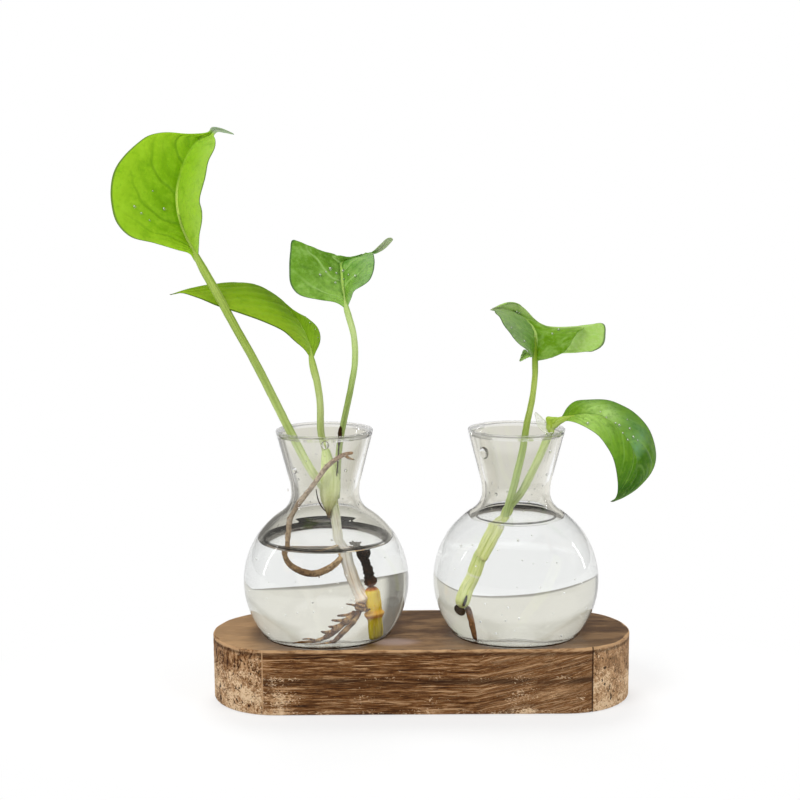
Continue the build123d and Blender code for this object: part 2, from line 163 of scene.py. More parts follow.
class Shape:
    """Gathers the faces of one piece in millimetres."""

    def __init__(self):
        self.points, self.faces, self.corners, self.finishes, self.count = [], [], [], [], 0

    def add_points(self, points):
        points = np.asarray(points, float).reshape(-1, 3)
        first = self.count
        self.points.append(points)
        self.count += len(points)
        return first

    def add_face(self, indices, corners, finish=0):
        self.faces.append(list(indices))
        self.corners.extend(corners)
        self.finishes.append(finish)

    def grid(self, grid, finish=0, around=False, flip=False, over=None):
        """Faces over rows of points; around joins each row's last point to its first."""
        rows, columns = grid.shape[:2]
        first = self.add_points(grid)
        last = columns if around else columns - 1
        for i in range(rows - 1):
            for j in range(last):
                k = (j + 1) % columns
                quad = [first + i * columns + j, first + i * columns + k]
                quad += [first + (i + 1) * columns + k, first + (i + 1) * columns + j]
                if over is None:
                    u0, u1 = j / last, (j + 1) / last
                    v0, v1 = i / (rows - 1), (i + 1) / (rows - 1)
                else:
                    (u0, v0), (u1, v1) = over[i, j], over[i + 1, k]
                corners = [(u0, v0), (u1, v0), (u1, v1), (u0, v1)]
                if flip:
                    quad.reverse()
                    corners.reverse()
                self.add_face(quad, corners, finish)
        return first

    def fan(self, ring, centre, finish=0, flip=False, place=(0.5, 0)):
        """Closes a ring of point numbers with triangles to a centre point."""
        middle = self.add_points([centre])
        for j, start in enumerate(ring):
            triangle = [start, ring[(j + 1) % len(ring)], middle]
            if flip:
                triangle.reverse()
            self.add_face(triangle, [place] * 3, finish)

    def tube(self, knots, sides=20, pitch=0.45, rough=0.0, grain=0.5, stretch=0.3, groove=0.0, oval=1.0):
        """A closed round stem through knots of x, y, z and radius, with rounded ends and an uneven skin."""
        samples, run = even_samples(knots, pitch)
        centres, radii = samples[:, :3], samples[:, 3]
        ends = np.minimum(run, run[-1] - run)
        closing = np.clip(ends / np.maximum(radii, 0.2), 0, 1)
        radii = radii * np.sqrt(np.clip(1 - (1 - closing) ** 2, 0.02, 1))
        tangents = np.gradient(centres, axis=0)
        tangents /= np.linalg.norm(tangents, axis=1)[:, None]
        side = np.cross(tangents[0], (0, -1, 0.1))
        grid = np.zeros((len(centres), sides, 3))
        for i, tangent in enumerate(tangents):
            side = side - tangent * np.dot(side, tangent)
            side /= np.linalg.norm(side)
            other = np.cross(tangent, side)
            for j in range(sides):
                angle = 2 * pi * j / sides
                out = side * cos(angle) + other * sin(angle) * oval
                place = Vector(out * radii[i] * grain) + Vector((0, 0, run[i] * grain * stretch))
                swell = 1 + rough * noise.fractal(place * 2, 1, 2, 3)
                swell -= groove * max(0, cos(angle - pi / 2)) ** 6
                grid[i, j] = centres[i] + out * radii[i] * swell
        self.capped(grid, centres[0], centres[-1], far=(0.5, 1))

    def ball(self, centre, radius, up=(0, 0, 1), flat=1.0, finish=0, sides=14):
        """A drop or bubble: a ball flattened along one direction."""
        up = Vector(up).normalized()
        side = up.orthogonal().normalized()
        other = up.cross(side)
        rows = []
        for i in range(1, sides):
            lift, across = cos(pi * i / sides), sin(pi * i / sides)
            row = []
            for j in range(sides):
                angle = 2 * pi * j / sides
                out = side * (cos(angle) * across) + other * (sin(angle) * across) + up * (lift * flat)
                row.append(Vector(centre) + out * radius)
            rows.append(row)
        top = Vector(centre) + up * radius * flat
        self.capped(np.array(rows), top, 2 * Vector(centre) - top, finish, flip=True)

    def capped(self, grid, start, end, finish=0, flip=False, far=(0.5, 0)):
        """Rings of points with their faces, closed round a start and an end."""
        sides = grid.shape[1]
        first = self.grid(grid, finish, around=True, flip=flip)
        last = first + (len(grid) - 1) * sides
        self.fan([first + j for j in range(sides)], start, finish, flip=not flip)
        self.fan([last + j for j in range(sides)], end, finish, flip=flip, place=far)

    def build(self, name, finishes, smooth=True):
        mesh = bpy.data.meshes.new(name)
        points = np.concatenate(self.points) * MM
        mesh.from_pydata(points.tolist(), [], self.faces)
        layer = mesh.uv_layers.new(name="UVMap")
        layer.data.foreach_set("uv", np.asarray(self.corners, np.float32).ravel())
        mesh.polygons.foreach_set("material_index", self.finishes)
        for finish in finishes:
            mesh.materials.append(finish)
        mesh.polygons.foreach_set("use_smooth", [smooth] * len(self.faces))
        mesh.validate()
        mesh.update()
        return place_object(name, mesh)


def place_object(name, data):
    thing = bpy.data.objects.new(name, data)
    bpy.context.scene.collection.objects.link(thing)
    return thing


@contextmanager
def mending(piece):
    """Opens a piece's mesh for repair and puts it back."""
    mesh = bmesh.new()
    mesh.from_mesh(piece.data)
    yield mesh
    mesh.to_mesh(piece.data)
    mesh.free()


def weld(piece, turn=False):
    """Joins points that lie on each other, and turns all faces outward on request."""
    with mending(piece) as mesh:
        bmesh.ops.remove_doubles(mesh, verts=mesh.verts, dist=0.002 * MM)
    if turn:
        with mending(piece) as mesh:
            bmesh.ops.recalc_face_normals(mesh, faces=mesh.faces)
    return piece


def settle(piece, body, slot, *nodes):
    """Puts a finished piece on its body, in place of its solids; the slot is not used."""
    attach(piece, body)
    if nodes:
        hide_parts(*nodes)


# Finishes ----------------------------------------


class Finish:
    """A material, or another owner of nodes, and the node calls that make it."""

    def __init__(self, name, owner=None):
        self.owner = owner or bpy.data.materials.new(name)
        self.owner.use_nodes = True
        self.tree = self.owner.node_tree
        self.tree.nodes.clear()

    def node(self, kind, inputs=None, **settings):
        """A node with its settings; an input is a value, a colour or another node's output."""
        node = self.tree.nodes.new("ShaderNode" + kind)
        for key, value in settings.items():
            setattr(node, key, value)
        for key, value in (inputs or {}).items():
            socket = node.inputs[key]
            if isinstance(value, bpy.types.NodeSocket):
                self.tree.links.new(value, socket)
            else:
                socket.default_value = opaque(value) if socket.type == "RGBA" and len(value) == 3 else value
        return node

    def sum(self, operation, *terms, clamp=False):
        return self.node("Math", dict(enumerate(terms)), operation=operation, use_clamp=clamp).outputs[0]

    def plus(self, *terms, clamp=False):
        return self.sum("ADD", *terms, clamp=clamp)

    def minus(self, *terms):
        return self.sum("SUBTRACT", *terms)

    def times(self, *terms, clamp=False):
        return self.sum("MULTIPLY", *terms, clamp=clamp)

    def apart(self, *terms):
        return self.sum("ABSOLUTE", self.minus(*terms))

    def place(self, stretch=(1, 1, 1)):
        """The mesh's own place in millimetres, squeezed along each axis by stretch."""
        scale = tuple(part / MM for part in stretch)
        source = self.node("TexCoord").outputs["Object"]
        return self.node("Mapping", {"Vector": source, "Scale": scale}).outputs[0]

    def spot(self):
        """The mesh's own place, as three numbers."""
        return self.node("SeparateXYZ", {0: self.place()}).outputs

    def across_along(self):
        """The two coordinates over the skin: round or across, and along."""
        parts = self.node("SeparateXYZ", {0: self.node("TexCoord").outputs["UV"]})
        return parts.outputs[0], parts.outputs[1]

    def skin_place(self, across_scale, along_scale):
        across, along = self.across_along()
        around = self.times(across, 2 * pi)
        parts = {
            0: self.times(self.sum("SINE", around), across_scale),
            1: self.times(self.sum("COSINE", around), across_scale), 2: self.times(along, along_scale),
        }
        return self.node("CombineXYZ", parts).outputs[0]

    def noise(self, place, scale, detail=3.0, rough=0.5, distortion=0.0):
        inputs = {"Vector": place, "Scale": scale, "Detail": detail, "Roughness": rough, "Distortion": distortion}
        return self.node("TexNoise", inputs).outputs[0]

    def step(self, value, start, end, low=0.0, high=1.0):
        """Smoothly from low at start to high at end."""
        inputs = {"Value": value, "From Min": start, "From Max": end, "To Min": low, "To Max": high}
        return self.node("MapRange", inputs, interpolation_type="SMOOTHSTEP").outputs[0]

    def ramp(self, factor, *stops):
        """A run of colours; a stop is its share and a colour, or its share and three screen values."""
        node = self.node("ValToRGB", {0: factor})
        band = node.color_ramp
        while len(band.elements) < len(stops):
            band.elements.new(0.5)
        for element, (position, *colour) in zip(band.elements, stops):
            element.position = position
            element.color = opaque(paint(*colour) if len(colour) == 3 else colour[0])
        return node.outputs[0]

    def mix(self, factor, first, second, blend="MIX"):
        return self.node("Mix", {0: factor, 6: first, 7: second}, data_type="RGBA", blend_type=blend).outputs[2]

    def blend(self, share, first, second):
        """The first shader, and a share of the second."""
        return self.node("MixShader", {0: share, 1: first, 2: second}).outputs[0]

    def bump(self, height, strength, distance, under=None):
        inputs = {"Height": height, "Strength": strength, "Distance": distance * MM}
        if under is not None:
            inputs["Normal"] = under
        return self.node("Bump", inputs).outputs[0]

    def gloss(self, **inputs):
        """The main surface shader; an underscore in a name stands for a space."""
        named = {key.replace("_", " "): value for key, value in inputs.items()}
        return self.node("BsdfPrincipled", named).outputs[0]

    def skin(self, **inputs):
        return self.finish(self.gloss(**inputs))

    def finish(self, shader):
        self.node("OutputMaterial", {0: shader})
        return self.owner


def clear_finish(name, tint, ior, lamp_tint, rough=0.0, grain=0.02, rim=None, edge=None):
    """Glass or water that lets the lamps through; it is thinner to the eye above the height called rim.

    edge is for water: its axis, level and radius, and the inset and breadth of the painted dark line in front.
    """
    make = Finish(name)
    waves = make.noise(make.place(), 0.12, 2)
    fine = make.noise(make.place(), 0.9, 2)
    normal = make.bump(make.plus(waves, make.times(fine, 0.15)), 0.15, grain)
    body = make.gloss(
        Base_Color=tint, Roughness=make.step(fine, 0.3, 0.8, rough, rough + 0.015), IOR=ior,
        Transmission_Weight=1.0, Normal=normal,
    )
    spot = make.spot()
    if rim is not None:
        clear = make.node("BsdfTransparent", {0: (1, 1, 1)}).outputs[0]
        body = make.blend(make.step(spot[2], rim, rim + 0.6, 0, 0.62), body, clear)
    # Painted shade: dark bands mixed into the water at its surface, a double line in front and one behind,
    # standing in for the meniscus's dark refraction.
    if edge is not None:
        axis_x, height, radius, inset, breadth = edge
        across = make.minus(spot[0], axis_x)
        out = make.plus(make.times(across, across), make.times(spot[1], spot[1]))
        gap = make.minus(radius, make.sum("SQRT", out, 0))
        front = make.step(spot[1], -0.1 * radius, -0.9 * radius)
        spread = make.times(front, make.step(waves, 0.3, 0.7, 0.75 * breadth, breadth))
        inward = make.sum("DIVIDE", make.minus(gap, inset), make.plus(1.2, spread))
        ring = make.times(make.step(inward, 0, 0.12), make.step(inward, 1, 0.88, 0, 0.9))
        hollow = make.step(make.apart(inward, 0.6), 0.2, 0.08, 0, 0.45)
        ring = make.times(ring, make.minus(1, hollow))
        ring = make.times(ring, make.step(spot[1], 0.1 * radius, -0.1 * radius, 0.35, 1))
        rise = make.minus(spot[2], height)
        back = make.times(make.step(rise, 0.3, 0.5), make.step(rise, 2.3, 1.9, 0, 0.85))
        back = make.times(back, make.step(waves, 0.46, 0.53, 0.1, 1))
        back = make.times(back, make.step(spot[1], -0.1 * radius, 0.1 * radius))
        ring = make.times(ring, make.step(rise, -0.3, -0.1))
        # The painted shade's colour, darker in front.
        tone = make.mix(make.step(spot[1], 2, -2), paint(52, 50, 46), paint(26, 25, 22))
        dim = make.gloss(Base_Color=tone, Roughness=fine, Specular_IOR_Level=0)
        both = make.plus(ring, back, clamp=True)
        body = make.blend(both, body, dim)
    lamp = make.node("LightPath").outputs["Is Shadow Ray"]
    through_it = make.node("BsdfTransparent", {0: lamp_tint}).outputs[0]
    return make.finish(make.blend(lamp, body, through_it))


def stalk_finish(name, stops, streak, streak_share=0.35, rough=0.38, soft=0.12, shine=0.3):
    """A living stalk: its colour changes along it, with fine lengthwise streaks."""
    make = Finish(name)
    base = make.ramp(make.across_along()[1], *stops)
    streaks = make.step(make.noise(make.skin_place(2.4, 2.2), 2.2, 3), 0.45, 0.72)
    dark = make.step(make.noise(make.skin_place(1.6, 1.5), 1.7, 3), 0.42, 0.66)
    specks = make.step(make.noise(make.place(), 1.4, 3), 0.5, 0.75)
    colour = make.mix(make.times(streaks, streak_share), base, streak)
    colour = make.mix(make.times(dark, 0.55), colour, base, "MULTIPLY")
    colour = make.mix(make.times(specks, 0.3), colour, base, "MULTIPLY")
    height = make.plus(streaks, make.times(specks, 0.4))
    return make.skin(
        Base_Color=colour, Roughness=make.step(specks, 0, 1, rough, rough + 0.12),
        Normal=make.bump(height, 0.5, 0.08), Subsurface_Weight=soft, Subsurface_Radius=(1.0, 1.0, 0.4),
        Subsurface_Scale=0.0015, Specular_IOR_Level=shine,
    )


def root_finish(name, stops, dark, rough=0.7, shine=0.15):
    """A brown root: knotty and flecked, its colour changing along it."""
    make = Finish(name)
    base = make.ramp(make.across_along()[1], *stops)
    blots = make.step(make.noise(make.place(), 0.9, 4, 0.6), 0.42, 0.68)
    rings = make.noise(make.skin_place(0.6, 26), 1.0, 3)
    colour = make.mix(make.times(blots, 0.6), base, dark)
    colour = make.mix(make.step(rings, 0.5, 0.7, 0, 0.5), colour, dark)
    height = make.plus(blots, rings)
    return make.skin(
        Base_Color=colour, Roughness=make.step(blots, 0, 1, rough - 0.12, rough),
        Normal=make.bump(height, 0.9, 0.25), Specular_IOR_Level=shine,
    )


def leaf_finish(name, look, under=False):
    """A leaf's skin: two halves that differ, curved side veins, a pale midrib and a dark thin margin."""
    make = Finish(name)
    across, along = make.across_along()
    side = make.minus(make.times(across, 2), 1)
    reach = make.sum("ABSOLUTE", side)
    halves = []
    for half in ("near", "far"):
        colour = make.ramp(along, *look[half])
        if half + "_edge" in look:
            colour = make.mix(make.step(reach, 0.25, 1, 0, 0.85), colour, look[half + "_edge"])
        halves.append(colour)
    base = make.mix(make.step(side, -0.03, 0.03), *halves)
    blots = make.noise(make.place(), 0.16, 4, 0.6, 0.4)
    fine = make.noise(make.place(), 1.3, 3, 0.6)
    mottle = make.noise(make.place(), 0.55, 4, 0.65)
    base = make.mix(make.step(blots, 0.45, 0.7, 0, 0.45), base, look["light"])
    base = make.mix(make.step(blots, 0.3, 0.47, 0.4, 0), base, look["deep"])
    base = make.mix(make.step(mottle, 0.5, 0.68, 0, 0.28), base, look["light"])
    base = make.mix(make.step(mottle, 0.34, 0.46, 0.28, 0), base, look["deep"])
    if "flap" in look:
        start, *colour = look["flap"]
        folded = make.mix(make.step(mottle, 0.4, 0.62, 0, 0.4), paint(*colour), paint(186, 212, 140))
        base = make.mix(make.step(across, start - 0.008, start + 0.008), base, folded)
    sweep = make.times(make.sum("POWER", reach, 1.25), look["sweep"])
    drift = make.noise(make.place(), 0.11, 0)
    shake = make.times(make.minus(drift, 0.5), 0.45)
    phase = make.plus(make.times(make.minus(along, sweep), look["veins"]), shake)
    phase = make.plus(phase, make.step(side, -0.01, 0.01, 0, 0.45))
    from_vein = make.apart(make.sum("FRACT", phase), 0.5)
    fade = make.times(make.step(reach, 0.98, 0.45), make.step(side, -0.02, 0.02, 1, look["far_veins"]))
    vein = make.times(make.step(from_vein, 0.09, 0.01), fade)
    half = make.times(make.step(from_vein, 0.3, 0.44), make.times(fade, 0.5))
    colour = make.mix(make.times(vein, look["vein_share"]), base, look["vein"])
    colour = make.mix(make.times(half, 0.35), colour, look["deep"])
    rib_fade = make.step(along, look["rib_end"] - 0.15, look["rib_end"], 1, 0.12)
    thick = make.times(make.step(along, 0.95, 0.0, 0.3, 1.0), look["rib_width"])
    from_rib = make.sum("DIVIDE", reach, thick)
    rib = make.times(make.step(from_rib, 1.0, 0.55), rib_fade)
    colour = make.mix(rib, colour, look["rib"])
    shade = make.times(make.step(from_rib, 2.8, 1.0, 0, 0.45), make.minus(1, rib))
    colour = make.mix(make.times(shade, rib_fade), colour, look["deep"])
    colour = make.mix(make.step(reach, 0.96, 0.985, 0, 0.8), colour, look["margin"])
    colour = make.mix(make.step(along, look["tip_from"], look["tip_from"] + 0.04), colour, look["tip"])
    if under:
        colour = make.mix(0.35, colour, look["under"])
    height = make.minus(make.times(fine, 0.3), vein)
    height = make.plus(height, make.times(mottle, 0.8))
    skin = dict(
        Base_Color=colour, Roughness=make.step(mottle, 0.35, 0.65, look["rough"], look["rough"] + 0.16),
        Normal=make.bump(height, 0.5, 0.16), Subsurface_Weight=0.15, Subsurface_Radius=(0.6, 1.0, 0.2),
        Subsurface_Scale=0.001, Specular_IOR_Level=look["shine"],
    )
    if under:
        skin["Roughness"] = make.step(fine, 0.3, 0.7, 0.5, 0.62)
    return make.skin(**skin)


# Settings that a user would change ----------------------------------------


def colour_property(name, description, colour):
    return FloatVectorProperty(
        name=name, description=description, subtype="COLOR", size=3, min=0, max=1, default=colour
    )


def length_property(name, description, millimetres):
    return FloatProperty(name=name, description=description, unit="LENGTH", min=0, default=millimetres * MM)


class BoardLook(bpy.types.PropertyGroup):
    length: length_property("Length", "Board from end to end", 203)
    depth: length_property("Depth", "Board from front to back", 66)
    edge: length_property("Worn edge", "How far the board's edges are rounded by wear", 0.9)
    saw_marks: length_property("Saw marks", "How deep the rough sides are cut", 0.28)
    top: colour_property("Top", "Satin stained top", paint(114, 86, 56))
    # top_dark also paints the shade round the recesses.
    top_dark: colour_property("Top grain", "Dark grain lines of the top", paint(62, 38, 22))
    top_light: colour_property("Top wear", "Where the stain of the top is rubbed thin", paint(180, 142, 100))
    side: colour_property("Side", "Rough dark side", paint(90, 54, 24))
    side_dark: colour_property("Side cracks", "Darkest grain of the side", paint(36, 14, 2))
    side_warm: colour_property("Side grain", "Warm brown streaks of the side", paint(126, 84, 46))
    side_light: colour_property("Side wear", "Bare light streaks of the side", paint(194, 156, 116))
    chips: colour_property("Chips", "Cream flecks where the stain has chipped off", paint(228, 200, 164))


class VaseLook(bpy.types.PropertyGroup):
    tint: colour_property("Glass", "Tint of the clear glass", (0.99, 0.995, 0.993))
    ripple: length_property("Ripple", "How uneven the blown wall is inside", 0.06)
    left_level: length_property("Left water", "Water level of the left vase over the middle of its bulb", 20.4)
    right_level: length_property("Right water", "Water level of the right vase over the middle of its bulb", 30.4)
    left_climb: length_property("Left water's climb", "How far the left water climbs the wall", 2.4)
    right_climb: length_property("Right water's climb", "How far the right water climbs the wall", 1.3)
    water: colour_property("Water", "Tint of the water", (0.985, 0.99, 0.985))


class CuttingLook(bpy.types.PropertyGroup):
    blade: length_property("Blade", "Thickness of a leaf", 0.42)
    dew: length_property("Dew", "Radius of a common drop on the leaves", 0.66)
    root: colour_property("Root", "Brown of the roots", paint(146, 112, 74))
    root_dark: colour_property("Root dark", "Dark skin of the roots", paint(66, 40, 18))
    cane: colour_property("Cane", "Yellow upper part of the old cane", paint(242, 208, 30))
    dry: colour_property("Dry stub", "Dry ragged head of the cane", paint(42, 26, 14))
    sheath: colour_property("Sheath", "Papery sheath", paint(240, 240, 226))


class StageLook(bpy.types.PropertyGroup):
    floor: colour_property("Floor", "Pale floor", (0.9, 0.9, 0.9))
    wall: colour_property("Room", "Pale wall that shows through the glass", paint(222, 219, 208))
    wall_low: colour_property("Room low", "Band of that wall behind the necks", paint(208, 205, 192))
    wall_high: colour_property("Room high", "Lowest and highest part of that wall", paint(231, 228, 217))
    wall_front: colour_property("Room front", "Dim side of the room behind the viewer", paint(128, 124, 116))
    wall_dark: colour_property("Room dark", "Dark side of the room", paint(92, 88, 82))
    key: FloatProperty(name="Key lamp", description="Soft lamp from the left", default=9.5, min=0)
    fill: FloatProperty(name="Fill lamp", description="Soft lamp from the right", default=4.5, min=0)
    top: FloatProperty(name="Top lamp", description="Soft lamp from above and behind", default=7.0, min=0)
    strip: FloatProperty(name="Strip lamps", description="Lamps that streak the glass", default=0.5, min=0)
    sky: FloatProperty(name="Sky", description="Even light from all round", default=0.5, min=0)
    gloss: FloatProperty(name="Gloss", description="How bright the room is in glosses", default=0.2, min=0)


# Board ----------------------------------------

SEAM_LEFT, SEAM_RIGHT = -75, 80
WALL_PITCH = 0.5


def outline(length, depth, count):
    """Even points round the board's long rounded outline, with the direction out of each."""
    radius = depth / 2
    straight = length - depth
    total = 2 * straight + 2 * pi * radius
    places = []
    for index in range(count):
        run = total * index / count
        if run < straight:
            point, out = (-straight / 2 + run, -radius), (0, -1)
        elif run < straight + pi * radius:
            angle = (run - straight) / radius - pi / 2
            out = (cos(angle), sin(angle))
            point = (straight / 2 + radius * out[0], radius * out[1])
        elif run < 2 * straight + pi * radius:
            point, out = (straight / 2 - (run - straight - pi * radius), radius), (0, 1)
        else:
            angle = (run - 2 * straight - pi * radius) / radius + pi / 2
            out = (cos(angle), sin(angle))
            point = (-straight / 2 + radius * out[0], radius * out[1])
        places.append((*point, *out))
    return places


def side_cut(x, y, z, depth):
    """How far the rough side lies inside the outline: sawn grain along it, chips and pits on its ends."""
    along = x if abs(y) > 20 else x + y
    if SEAM_LEFT < x < SEAM_RIGHT:
        lean = z - 0.22 * max(0, x - 30)
        grain = noise.fractal(Vector((along / 26, y / 40, lean / 1.0)), 1, 2, 4)
        crack = noise.noise(Vector((along / 38 + 7, y / 50, lean / 1.7)))
        cut = 0.4 + 0.5 * grain + (0.8 if crack > 0.5 else 0)
    else:
        chips = noise.fractal(Vector((x / 1.6, y / 1.6, z / 2.6)), 1, 2, 4)
        pits = noise.noise(Vector((x / 1.4, y / 1.4, z / 2.2 + 5)))
        cut = 0.35 + 0.45 * chips + (0.8 if pits > 0.5 else 0)
    seam = min(abs(x - SEAM_LEFT), abs(x - SEAM_RIGHT))
    return depth * (max(0, min(1.5, cut)) + 1.0 * max(0, 1 - seam / 0.5))


def board_top_finish(look):
    """Satin stain over fine grain, rubbed thin at the front and the left end, with painted shade round the
    recesses and a painted highlight between the vases.
    """
    make = Finish("board_top_satin")
    x, y = make.spot()[:2]
    grain = make.noise(make.place((0.03, 0.6, 0.6)), 1.6, 6, 0.65, 0.4)
    pores = make.noise(make.place((0.12, 2.4, 2.4)), 2.0, 4, 0.65)
    cloud = make.noise(make.place((0.03, 0.08, 0.08)), 1.0, 4, 0.6)
    colour = make.mix(make.step(grain, 0.4, 0.64, 0, 0.85), look.top, look.top_dark)
    colour = make.mix(make.step(grain, 0.38, 0.26, 0, 0.5), colour, look.top_light)
    colour = make.mix(make.step(pores, 0.52, 0.7, 0, 0.65), colour, look.top_dark)
    colour = make.mix(make.step(cloud, 0.44, 0.62, 0, 0.4), colour, look.top_dark)
    front = make.times(make.step(y, -16, -30), make.step(cloud, 0.4, 0.6, 0.15, 0.5))
    ends = make.plus(make.step(x, -66, -92), make.step(cloud, 0.5, 0.36, 0, 0.5))
    ends = make.plus(ends, front)
    colour = make.mix(make.times(ends, 0.65, clamp=True), colour, look.top_light)
    # Painted shade: the top is darkened towards top_dark in a ring round each recess, where the vases stand.
    for axis_x in (LEFT, RIGHT):
        from_axis = make.node("CombineXYZ", {0: make.minus(x, axis_x), 1: y}).outputs[0]
        gap = make.node("VectorMath", {0: from_axis}, operation="LENGTH").outputs["Value"]
        colour = make.mix(make.step(gap, RECESS_RADIUS + 9, RECESS_RADIUS + 0.5, 0, 0.6), colour, look.top_dark)
    # A painted highlight: a pale sheen painted into the wood's colour between the vases
    across, deep = make.times(make.plus(x, 13), 0.08), make.times(make.plus(y, 20), 0.16)
    off = make.plus(make.times(across, across), make.times(deep, deep))
    colour = make.mix(make.step(off, 1.3, 0, 0, 0.5), colour, paint(178, 156, 150))
    height = make.plus(make.times(grain, 0.6), pores)
    return make.skin(
        Base_Color=colour, Roughness=make.step(pores, 0.4, 0.7, 0.3, 0.5), Normal=make.bump(height, 0.6, 0.16),
        Specular_IOR_Level=0.35,
    )


def board_side_finish(look):
    """Rough sawn grain with chips along the sides, and crumbly flecked ends past the seams."""
    make = Finish("board_side_sawn")
    x, y, z = make.spot()
    past = make.sum("MAXIMUM", make.minus(x, 26), 0)
    lean = make.minus(z, make.times(past, 0.24))
    flow = make.node("CombineXYZ", {0: x, 1: y, 2: lean}).outputs[0]

    def streaks(along, across, scale, detail, rough, distortion):
        squeezed = make.node("VectorMath", {0: flow, 1: (along, along * 1.6, across)}, operation="MULTIPLY")
        return make.noise(squeezed.outputs[0], scale, detail, rough, distortion)

    def near(value, middle, reach, share):
        gap = make.apart(value, middle)
        return make.step(gap, reach, reach * 0.2, 0, share)

    bands = streaks(0.022, 0.3, 1.0, 3, 0.5, 0.3)
    grain = streaks(0.045, 0.95, 1.3, 7, 0.74, 0.5)
    thin = streaks(0.13, 2.6, 1.5, 5, 0.72, 0.3)
    colour = make.ramp(
        make.step(make.plus(make.times(grain, 0.75), make.times(bands, 0.25)), 0.36, 0.62), (0.0, look.side_dark),
        (0.34, look.side), (0.7, look.side_warm), (1.0, look.side_light),
    )
    colour = make.mix(make.step(thin, 0.52, 0.63, 0, 0.9), colour, look.side_dark)
    colour = make.mix(make.step(thin, 0.42, 0.28, 0, 0.85), colour, look.side_light)
    streak = make.times(make.step(x, 22, 50), make.step(grain, 0.5, 0.36, 0, 0.9))
    colour = make.mix(streak, colour, look.side_light)
    belt = make.times(near(z, 16.2, 2.6, 1), make.step(bands, 0.35, 0.6, 0.2, 0.75))
    colour = make.mix(belt, colour, look.side_dark)
    patch = make.noise(make.place((0.11, 0.11, 0.16)), 1.0, 2)
    fleck = make.noise(make.place((0.7, 0.7, 1.5)), 1.0, 5, 0.7, 0.4)
    bound = make.plus(near(z, 17.8, 1.6, 0.08), near(z, 8, 4, 0.06))
    bound = make.plus(bound, make.step(z, 4.5, 0.5, 0, 0.13))
    left = make.times(make.step(x, -48, -68), make.step(z, 26, 14, 0, 0.13))
    column = make.times(near(x, 47, 9, 1), make.step(z, 30, 5, 0.02, 0.12))
    bound = make.plus(make.plus(bound, left), make.plus(column, make.step(patch, 0.4, 0.7, -0.05, 0.06)))
    chipped = make.step(make.plus(fleck, bound), 0.66, 0.72, 0, 0.9)

    end = make.noise(make.place((0.5, 0.5, 0.2)), 1.0, 6, 0.72, 0.8)
    crumbs = make.noise(make.place((0.85, 0.85, 1.0)), 1.0, 5, 0.74, 0.6)
    end_colour = make.ramp(
        make.step(end, 0.34, 0.66), (0.0, look.side_dark), (0.3, look.side), (0.55, look.side_warm),
        (1.0, look.side_light),
    )
    pale = make.step(x, SEAM_RIGHT - 1, SEAM_RIGHT + 4, 0, 0.35)
    end_colour = make.mix(pale, end_colour, look.side_light)
    low = make.step(z, 28, 9, -0.02, 0.12)
    low = make.plus(low, make.step(patch, 0.35, 0.65, -0.05, 0.07))
    tan = make.step(make.plus(crumbs, low), 0.5, 0.6, 0, 0.7)
    end_colour = make.mix(tan, end_colour, look.side_light)
    end_chips = make.step(make.plus(crumbs, low), 0.62, 0.66, 0, 0.9)
    pits = make.noise(make.place((0.45, 0.45, 0.3)), 1.0, 4, 0.6)
    end_colour = make.mix(end_chips, end_colour, look.chips)
    end_colour = make.mix(make.step(pits, 0.6, 0.66, 0, 0.9), end_colour, look.side_dark)
    to_left = make.step(x, SEAM_LEFT + 0.6, SEAM_LEFT - 0.6)
    to_end = make.plus(to_left, make.step(x, SEAM_RIGHT - 0.6, SEAM_RIGHT + 0.6))
    chips = make.mix(make.step(pits, 0.42, 0.6), look.chips, look.side_light)
    colour = make.mix(chipped, colour, chips)
    colour = make.mix(to_end, colour, end_colour)
    nick = make.noise(make.place((0.16, 0.16, 0.6)), 1.0, 4, 0.6)
    worn = make.step(z, BOARD_HEIGHT - 1.5, BOARD_HEIGHT - 0.7)
    worn = make.times(worn, make.step(nick, 0.34, 0.58, 0.15, 0.95))
    colour = make.mix(worn, colour, look.side_light)
    colour = make.mix(near(z, 29.4, 1.2, 0.55), colour, look.side_dark)
    colour = make.mix(near(x, SEAM_LEFT, 0.5, 0.8), colour, look.side_light)
    colour = make.mix(near(x, SEAM_RIGHT, 0.6, 0.9), colour, look.side_dark)
    height = make.plus(grain, make.times(thin, 0.8))
    height = make.plus(height, make.times(make.times(to_end, end), 1.2))
    return make.skin(
        Base_Color=colour, Roughness=make.step(grain, 0.3, 0.7, 0.62, 0.8), Normal=make.bump(height, 0.9, 0.4),
        Specular_IOR_Level=0.15,
    )


def recess_rings(shape):
    """Walls and floors of the two round recesses; returns the ring of point numbers at each mouth."""
    mouths = []
    for axis_x in (LEFT, RIGHT):
        steps = ((RECESS_RADIUS + 0.35, BOARD_HEIGHT), (RECESS_RADIUS + 0.08, BOARD_HEIGHT - 0.12))
        steps += ((RECESS_RADIUS, BOARD_HEIGHT - 0.4), (RECESS_RADIUS, SEAT_HEIGHT))
        angles = [2 * pi * j / RECESS_SIDES for j in range(RECESS_SIDES)]
        grid = np.array([[(axis_x + r * cos(a), r * sin(a), z) for a in angles] for r, z in steps])
        first = shape.grid(grid, 0, around=True)
        mouths.append([first + j for j in range(RECESS_SIDES)])
        shape.fan([first + 3 * RECESS_SIDES + j for j in range(RECESS_SIDES)], (axis_x, 0, SEAT_HEIGHT), 0)
    return mouths


